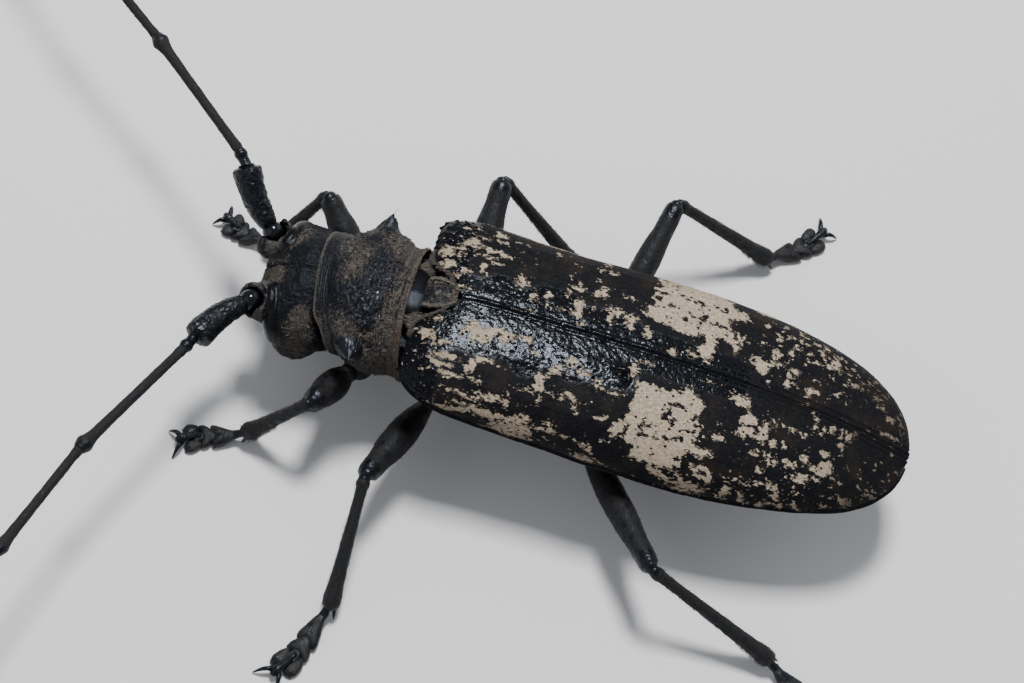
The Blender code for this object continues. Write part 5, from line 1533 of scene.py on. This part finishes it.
class Coat:
    """Gathers tufts of solid hair into one object with a patch per tuft on its OFBake map."""

    def __init__(self, name):
        self.name = name
        self.roots, self.tips, self.bends, self.wide, self.places, self.shades = [], [], [], [], [], []

    def add(self, roots, directions, lengths, wide, places, bend=None, shade=0.5):
        """Adds tufts; bend is how far the tips droop along a vector, places are on the map."""
        roots = np.asarray(roots, float).reshape(-1, 3)
        count = len(roots)
        directions = unit(np.broadcast_to(directions, (count, 3)))
        lengths = np.broadcast_to(lengths, (count,))
        self.roots.append(roots)
        self.tips.append(directions * lengths[:, None])
        bend = np.zeros(3) if bend is None else bend
        self.bends.append(np.broadcast_to(bend, (count, 3)) * lengths[:, None])
        self.wide.append(np.broadcast_to(wide, (count,)))
        self.places.append(np.broadcast_to(places, (count, 2)))
        self.shades.append(np.broadcast_to(shade, (count,)) + DRAW.uniform(-0.3, 0.3, count))

    def build(self, paint, slot, rings=3):
        """Makes the object; tufts have two or three rings of points and a tip."""
        roots, tips, bends = (np.concatenate(v) for v in (self.roots, self.tips, self.bends))
        wide, places, shades = (np.concatenate(v) for v in (self.wide, self.places, self.shades))
        count = len(roots)
        ahead = unit(tips)
        pole = np.where(np.abs(ahead[:, 2:]) < 0.9, (0.0, 0.0, 1.0), (1.0, 0.0, 0.0))
        side = unit(np.cross(ahead, pole))
        over = np.cross(side, ahead)
        made = []
        stations = ((-0.12, 1.0), (0.45, 0.8), (0.8, 0.5)) if rings == 3 else ((-0.12, 1.0), (0.6, 0.7))
        for share, thick in stations:
            centre = roots + tips * share + bends * max(share, 0) ** 2
            for k in range(3):
                a = 2 * math.pi * k / 3
                made.append(centre + (side * math.cos(a) + over * math.sin(a)) * (wide * thick)[:, None])
        made.append(roots + tips + bends)
        each = len(made)
        points = np.stack(made, 1).reshape(-1, 3)
        faces = []
        for low in range(0, each - 4, 3):
            for k in range(3):
                after = (k + 1) % 3
                faces.append((low + k, low + after, low + 3 + after, low + 3 + k))
        caps = [(each - 4 + k, each - 4 + (k + 1) % 3, each - 1) for k in range(3)]
        base = np.arange(count)[:, None] * each
        quads = [(base + np.array(f)[None]).tolist() for f in faces]
        ends = [(base + np.array(f)[None]).tolist() for f in caps]
        mesh = bpy.data.meshes.new(self.name)
        mesh.from_pydata(in_frame(points).tolist(), [], sum(quads, []) + sum(ends, []))
        corner = np.empty(len(mesh.loops), np.int32)
        mesh.loops.foreach_get("vertex_index", corner)
        within = corner % each
        patch = stack(np.cos(within * 2.1), np.sin(within * 2.1)) * (0.0015 * (within > 2))[:, None]
        uv = np.clip(places[corner // each] + patch, 0, 1)
        mesh.uv_layers.new(name="OFBake").data.foreach_set("uv", uv.reshape(-1).astype(np.float32))
        data = np.repeat(np.clip(shades, 0, 1), each).astype(np.float32)
        mesh.attributes.new("shade", "FLOAT", "POINT").data.foreach_set("value", data)
        mesh.shade_smooth()
        place(self.name, mesh, paint, (), slot)


def drawn(weight, count):
    """Random places in a flat list, oftener where the weight is high."""
    share = np.cumsum(np.clip(weight, 0, None).astype(float))
    return np.minimum(np.searchsorted(share, DRAW.uniform(0, share[-1], count)), len(share) - 1)


def lying(points, up, flow, stray):
    """Directions of hair that lies along a flow on a skin."""
    flow = flow - up * np.sum(flow * up, axis=1)[:, None]
    return unit(unit(flow) + up * 0.2 + DRAW.normal(0, stray, points.shape))


def swirl(points, size, seed):
    """A smooth random direction at each place."""
    return np.stack([noise(points, size, seed + k) for k in range(3)], -1)


def patches(table, x, y):
    """How much the patches of a table raise the down at places."""
    return sum(
        strength * np.exp(-((x - px) ** 2 + (y - py) ** 2) / r ** 2) for px, py, r, strength in table
    )


def hair_on_marks(word, side, grid, n, mark, tone):
    """Short pale hair lying backwards on the marks of a wing case, thickest at their borders."""
    coat = Coat(f"elytron_{word}_down")
    weight = smooth((mark + 0.03) / 0.08) * (0.3 + ridge(mark, 0, 0.12))
    weight[:2], weight[-6:], weight[:, -4:] = 0, 0, 0
    rows, cols = weight.shape
    pick = drawn(weight.reshape(-1), MARK_HAIRS)
    points, up = grid.reshape(-1, 3)[pick], n.reshape(-1, 3)[pick]
    points = points + DRAW.normal(0, 0.03, points.shape) * np.array([1, 1, 0]) - up * 0.01
    flow = np.array([0.0, 1.0, 0.0]) + 0.35 * swirl(points, 1.2, 151)
    spot = stack(0.5 + side * (pick % cols) / cols * 0.48, (pick // cols) / rows)
    coat.add(points, lying(points, up, flow, 0.12), DRAW.uniform(0.1, 0.22, len(pick)), MARK_WIDE,
             spot, -up * 0.12, 0.1 + 0.5 * tone.reshape(-1)[pick])
    coat.build(PAINT["pale_hair"], "elytra", 2)


def lay_down(name, points, up, flow, spot, shortest):
    """A piece of short ochre hair that lies along a flow."""
    coat, count = Coat(name), len(points)
    coat.add(points - up * 0.012, lying(points, up, flow, 0.2), DRAW.uniform(shortest, 0.28, count),
             DOWN_WIDE, spot, -up * 0.1, DRAW.uniform(0.1, 0.75, count))
    coat.build(PAINT["ochre_hair"], "felted", 2)


def hair_on_head(points, n, down):
    """Short ochre hair lying on the head."""
    pick = drawn(smooth((down + 0.1) / 0.5) * (n[:, 2] > -0.5) * (points[:, 1] < -7.6), HEAD_HAIRS)
    x, y, z = points[pick].T
    flow = stack(np.sign(x) * 0.6, -0.3, -0.5) + 0.9 * swirl(points[pick], 1.3, 161)
    spot = stack(0.5 + np.arctan2(x, z - 7.5) / (2 * math.pi), (y + 14.5) / 8)
    lay_down("head_down", points[pick], n[pick], flow, spot, 0.13)


def border_hair(pronotum, down):
    """Hair lying on the pronotum, ochre fringes at its borders and pale hairs at its spines."""
    rows, cols = down.shape
    n = outward(pronotum, True)
    pick = drawn((smooth((down + 0.05) / 0.5) * (n[..., 2] > -0.6)).reshape(-1), PRONOTUM_HAIRS)
    points, up = pronotum.reshape(-1, 3)[pick], n.reshape(-1, 3)[pick]
    x = points[:, 0]
    flow = stack(np.sign(x) * 0.4, 0.7, -0.2) + 0.9 * swirl(points, 1.4, 171)
    spot = stack((pick % cols) / cols, (pick // cols) / rows)
    lay_down("pronotum_down", points, up, flow, spot, 0.14)

    coat = Coat("pronotum_fringe")
    for ahead, spread, count in ((-1, 2.0, 2600), (1, 5.0, 1500)):
        col = (DRAW.uniform(-0.13, 0.63, count) * cols).astype(int) % cols
        depth = np.abs(DRAW.normal(0, spread, count)).astype(int) + 1
        index = depth if ahead < 0 else -1 - depth
        up = n[index, col]
        lie = unit(up * 0.28 + np.array([0, ahead, 0]) + DRAW.normal(0, 0.16, (count, 3)))
        spot = stack(col / cols, (index % len(pronotum)) / len(pronotum))
        coat.add(pronotum[index, col] - up * 0.02, lie, 0.2 * DRAW.uniform(0.6, 1.15, count),
                 FRINGE_WIDE, spot, -up * 0.3, 0.62)
    for _, side in SIDES:
        tip = side_point(side, SPINE_TIP)
        way = unit(side_point(side, (0.35, 0.25, 0.9)))
        coat.add([tip - way * 0.1], way, 0.75, 0.02, (0.2 if side > 0 else 0.4, 0.6), (0, 0.3, 0), 0.95)
    coat.build(PAINT["ochre_hair"], "felted")


def leg_hair(k, leg, fine, brush):
    """Short dark hair along a leg, brushes at its shin's end and along its foot."""
    for grid, count, length, low in ((leg["thigh"], 520, 0.2, 0.1), (leg["shin"], 760, 0.26, 0.08)):
        n = outward(grid, True)
        row = (DRAW.uniform(low, 0.93, count) * len(grid)).astype(int)
        col = DRAW.integers(0, grid.shape[1], count)
        along_limb = unit(grid[-6].mean(0) - grid[6].mean(0))
        lie = unit(n[row, col] * 0.55 + along_limb + DRAW.normal(0, 0.15, (count, 3)))
        spot = stack((k + col / grid.shape[1]) / 8, row / len(grid))
        fine.add(grid[row, col], lie, length * DRAW.uniform(0.6, 1.2, count), LIMB_WIDE,
                 spot, None, 0.35)
    grid = leg["shin"]
    n = outward(grid, True)
    count, start = (620, 0.55) if leg["front"] else (380, 0.72)
    row = (DRAW.uniform(start, 0.94, count) * len(grid)).astype(int)
    inner = np.argsort(n[len(grid) * 3 // 4] @ np.array([0, 0, -1.0]))[-12:]
    col = DRAW.choice(inner, count)
    lie = unit(n[row, col] * 0.8 + leg["down"] + DRAW.normal(0, 0.2, (count, 3)))
    brush.add(grid[row, col], lie, DRAW.uniform(0.22, 0.42, count), FRINGE_WIDE,
              stack((k + col / grid.shape[1]) / 8, row / len(grid)), None, 0.6)
    at, count = leg["foot_at"], 260
    for s0, s1, wide in ((0.6, 1.8, 0.8), (2.1, 3.0, 0.82), (3.4, 4.8, 1.0)):
        s = DRAW.uniform(s0, s1, count)
        sign = np.where(DRAW.uniform(0, 1, count) < 0.5, -1, 1)
        aside = sign * wide * (0.62 + 0.38 * (s - s0) / (s1 - s0)) * DRAW.uniform(0.86, 1.0, count)
        roots = at(s, aside * 0.93, DRAW.uniform(0.1, 0.3, count))
        lie = unit(at(s + 0.2, aside + sign * 0.12, 0.05) - at(s, aside, 0.2))
        brush.add(roots, lie, DRAW.uniform(0.14, 0.26, count), FRINGE_WIDE,
                  stack((k + 0.5) / 8, s / 6), None, 0.75)


def feeler_hair(j, spans, fine):
    """Short dark hair along a feeler, longer below."""
    for start, stop, shaft, k in spans:
        count = int(np.linalg.norm(stop - start) * 34)
        t = DRAW.uniform(0.03, 0.97, count)
        ahead = unit(stop - start)
        side = unit(np.cross(ahead, (0, 0, 1)))
        over = np.cross(side, ahead)
        turn = DRAW.uniform(0, 2 * math.pi, count)
        up = side * np.cos(turn)[:, None] + over * np.sin(turn)[:, None]
        below = np.clip(-up[:, 2], 0, 1)
        lie = unit(up * (0.35 + 0.4 * below)[:, None] + ahead + DRAW.normal(0, 0.1, (count, 3)))
        length = (0.12 + 0.2 * below) * DRAW.uniform(0.7, 1.2, count)
        spot = stack((6 + j + turn / 6.3) / 8, (k - 2 + t) / 9.1)
        roots = start + (stop - start) * t[:, None] + up * shaft * 0.96
        fine.add(roots, lie, length, FEELER_WIDE, spot, None, 0.45)


def limb_hair(legs, feelers):
    """Hair of all the limbs, in two pieces."""
    fine, brush = Coat("limb_hair"), Coat("foot_brushes")
    for k, leg in enumerate(legs):
        leg_hair(k, leg, fine, brush)
    for j, spans in enumerate(feelers):
        feeler_hair(j, spans, fine)
    fine.build(PAINT["dark_hair"], "cuticle")
    brush.build(PAINT["ochre_hair"], "cuticle")


def body_hair():
    """Downy hair round the scutellum, along the wing cases' roots and on the fore mounds."""
    coat = Coat("root_hair")
    count = 600
    y = DRAW.uniform(-0.9, 1.3, count)
    side = np.where(DRAW.uniform(0, 1, count) < 0.5, -1.0, 1.0)
    half = along(SCUTELLUM_HALF, y)
    roots = stack(side * half * DRAW.uniform(0.8, 0.97, count), y, along(SCUTELLUM_TOP, y) - 0.03)
    lie = unit(stack(side * 0.5, 1.0, 0.25) + DRAW.normal(0, 0.15, (count, 3)))
    spot = stack(0.5 + roots[:, 0] / 8, (y + 1) / 3)
    coat.add(roots, lie, DRAW.uniform(0.14, 0.3, count), 0.011, spot, None, 0.55)
    for _, way in SIDES:
        count = 520
        share = DRAW.uniform(0.0, 0.5, count)
        line, _, _ = section(ELYTRA_ROOT, ELYTRA_COLS)
        points = line[(share * (ELYTRA_COLS - 1)).astype(int)] * np.array([way, 1, 1])
        lie = unit(np.array([0.0, 1.0, 0.32]) + DRAW.normal(0, 0.28, (count, 3)))
        roots = points + np.array([0, -0.16, 0.02]) + DRAW.normal(0, 0.07, (count, 3))
        coat.add(roots, lie, DRAW.uniform(0.16, 0.36, count), 0.012,
                 stack(0.5 + way * share / 2.1, 0.7), None, 0.4)
        bend, turn = DRAW.uniform(0, 0.42, 260) * math.pi, DRAW.uniform(0, 2 * math.pi, 260)
        up = stack(np.sin(bend) * np.cos(turn), np.sin(bend) * np.sin(turn), np.cos(bend))
        roots = side_point(way, FORE_MOUND) + up * np.array([0.78, 0.58, 0.48])
        lie = unit(up * 0.4 + np.array([0.0, 0.9, 0.1]) + DRAW.normal(0, 0.25, (260, 3)))
        spot = stack(0.5 + way * 0.3 + up[:, 0] / 9, 0.1 + bend / 9)
        coat.add(roots, lie, DRAW.uniform(0.25, 0.5, 260), FRINGE_WIDE, spot, None, 0.6)
    coat.build(PAINT["ochre_hair"], "felted")


# Stage

def build_stage():
    """Plain pale floor."""
    half, steps = 2.0, 9
    line = np.linspace(-half, half, steps)
    points = [(x, y, 0.0) for y in line for x in line]
    faces = [
        (r * steps + c, r * steps + c + 1, (r + 1) * steps + c + 1, (r + 1) * steps + c)
        for r in range(steps - 1) for c in range(steps - 1)
    ]
    mesh = bpy.data.meshes.new("floor")
    mesh.from_pydata(points, [], faces)
    floor = link("floor", mesh)
    mesh.materials.append(paint_floor())


def lamp(name, place_at, size, power):
    """A soft square light aimed at the frame's origin."""
    light = bpy.data.lights.new(name, "AREA")
    light.shape, light.size, light.energy = "SQUARE", size, power
    made = link(name, light)
    way = -Vector(place_at)
    made.matrix_world = Matrix.Translation(place_at) @ way.to_track_quat("-Z", "Y").to_matrix().to_4x4()


def build_sky():
    """Even light from all round."""
    world = bpy.data.worlds.new("soft")
    world.use_nodes = True
    background = world.node_tree.nodes["Background"]
    background.inputs["Color"].default_value = SKY
    background.inputs["Strength"].default_value = SKY_STRENGTH
    bpy.context.scene.world = world


def build_camera():
    """The camera at the photograph's angle."""
    a, e, r = (math.radians(v) for v in (CAMERA_TURN, CAMERA_LIFT, CAMERA_ROLL))
    back = Vector((math.sin(a) * math.cos(e), -math.cos(a) * math.cos(e), math.sin(e)))
    right = Vector((math.cos(a), math.sin(a), 0.0))
    up = back.cross(right)
    x = right * math.cos(r) + up * math.sin(r)
    y = up * math.cos(r) - right * math.sin(r)
    data = bpy.data.cameras.new("camera")
    data.lens, data.sensor_width, data.clip_start = CAMERA_LENS, 36.0, 0.001
    camera = link("camera", data)
    eye = (Vector(CAMERA_AIM) + back * CAMERA_AWAY) * MM + Vector(SHIFT)
    camera.matrix_world = Matrix.Translation(eye) @ Matrix((x, y, back)).transposed().to_4x4()
    bpy.context.scene.camera = camera


PAINT = {
    "elytra": paint_elytra(), "felted": paint_felted(), "cuticle": paint_cuticle(),
    "gloss": paint_gloss(), "eye": paint_eye(), "membrane": paint_membrane(), "plate": paint_plate(),
    "ochre_hair": paint_hair("ochre_hair", (0.022, 0.0192, 0.0168), (0.16, 0.136, 0.11)),
    "pale_hair": paint_hair("pale_hair", (0.12, 0.096, 0.07), (0.46, 0.38, 0.29)),
    "dark_hair": paint_hair("dark_hair", (0.004, 0.004, 0.0042), (0.045, 0.042, 0.038)),
}

build_elytra()
build_scutellum()
build_trunk()
build_neck()
build_fore_plate()
border_hair(*build_pronotum())
build_head()
LEG_SHAPES = [build_leg(*leg) for leg in LEGS]
FEELER_SHAPES = [build_feeler(*feeler) for feeler in FEELERS]
limb_hair(LEG_SHAPES, FEELER_SHAPES)
body_hair()
build_stage()
build_camera()
for settings in LAMPS:
    lamp(*settings)
build_sky()
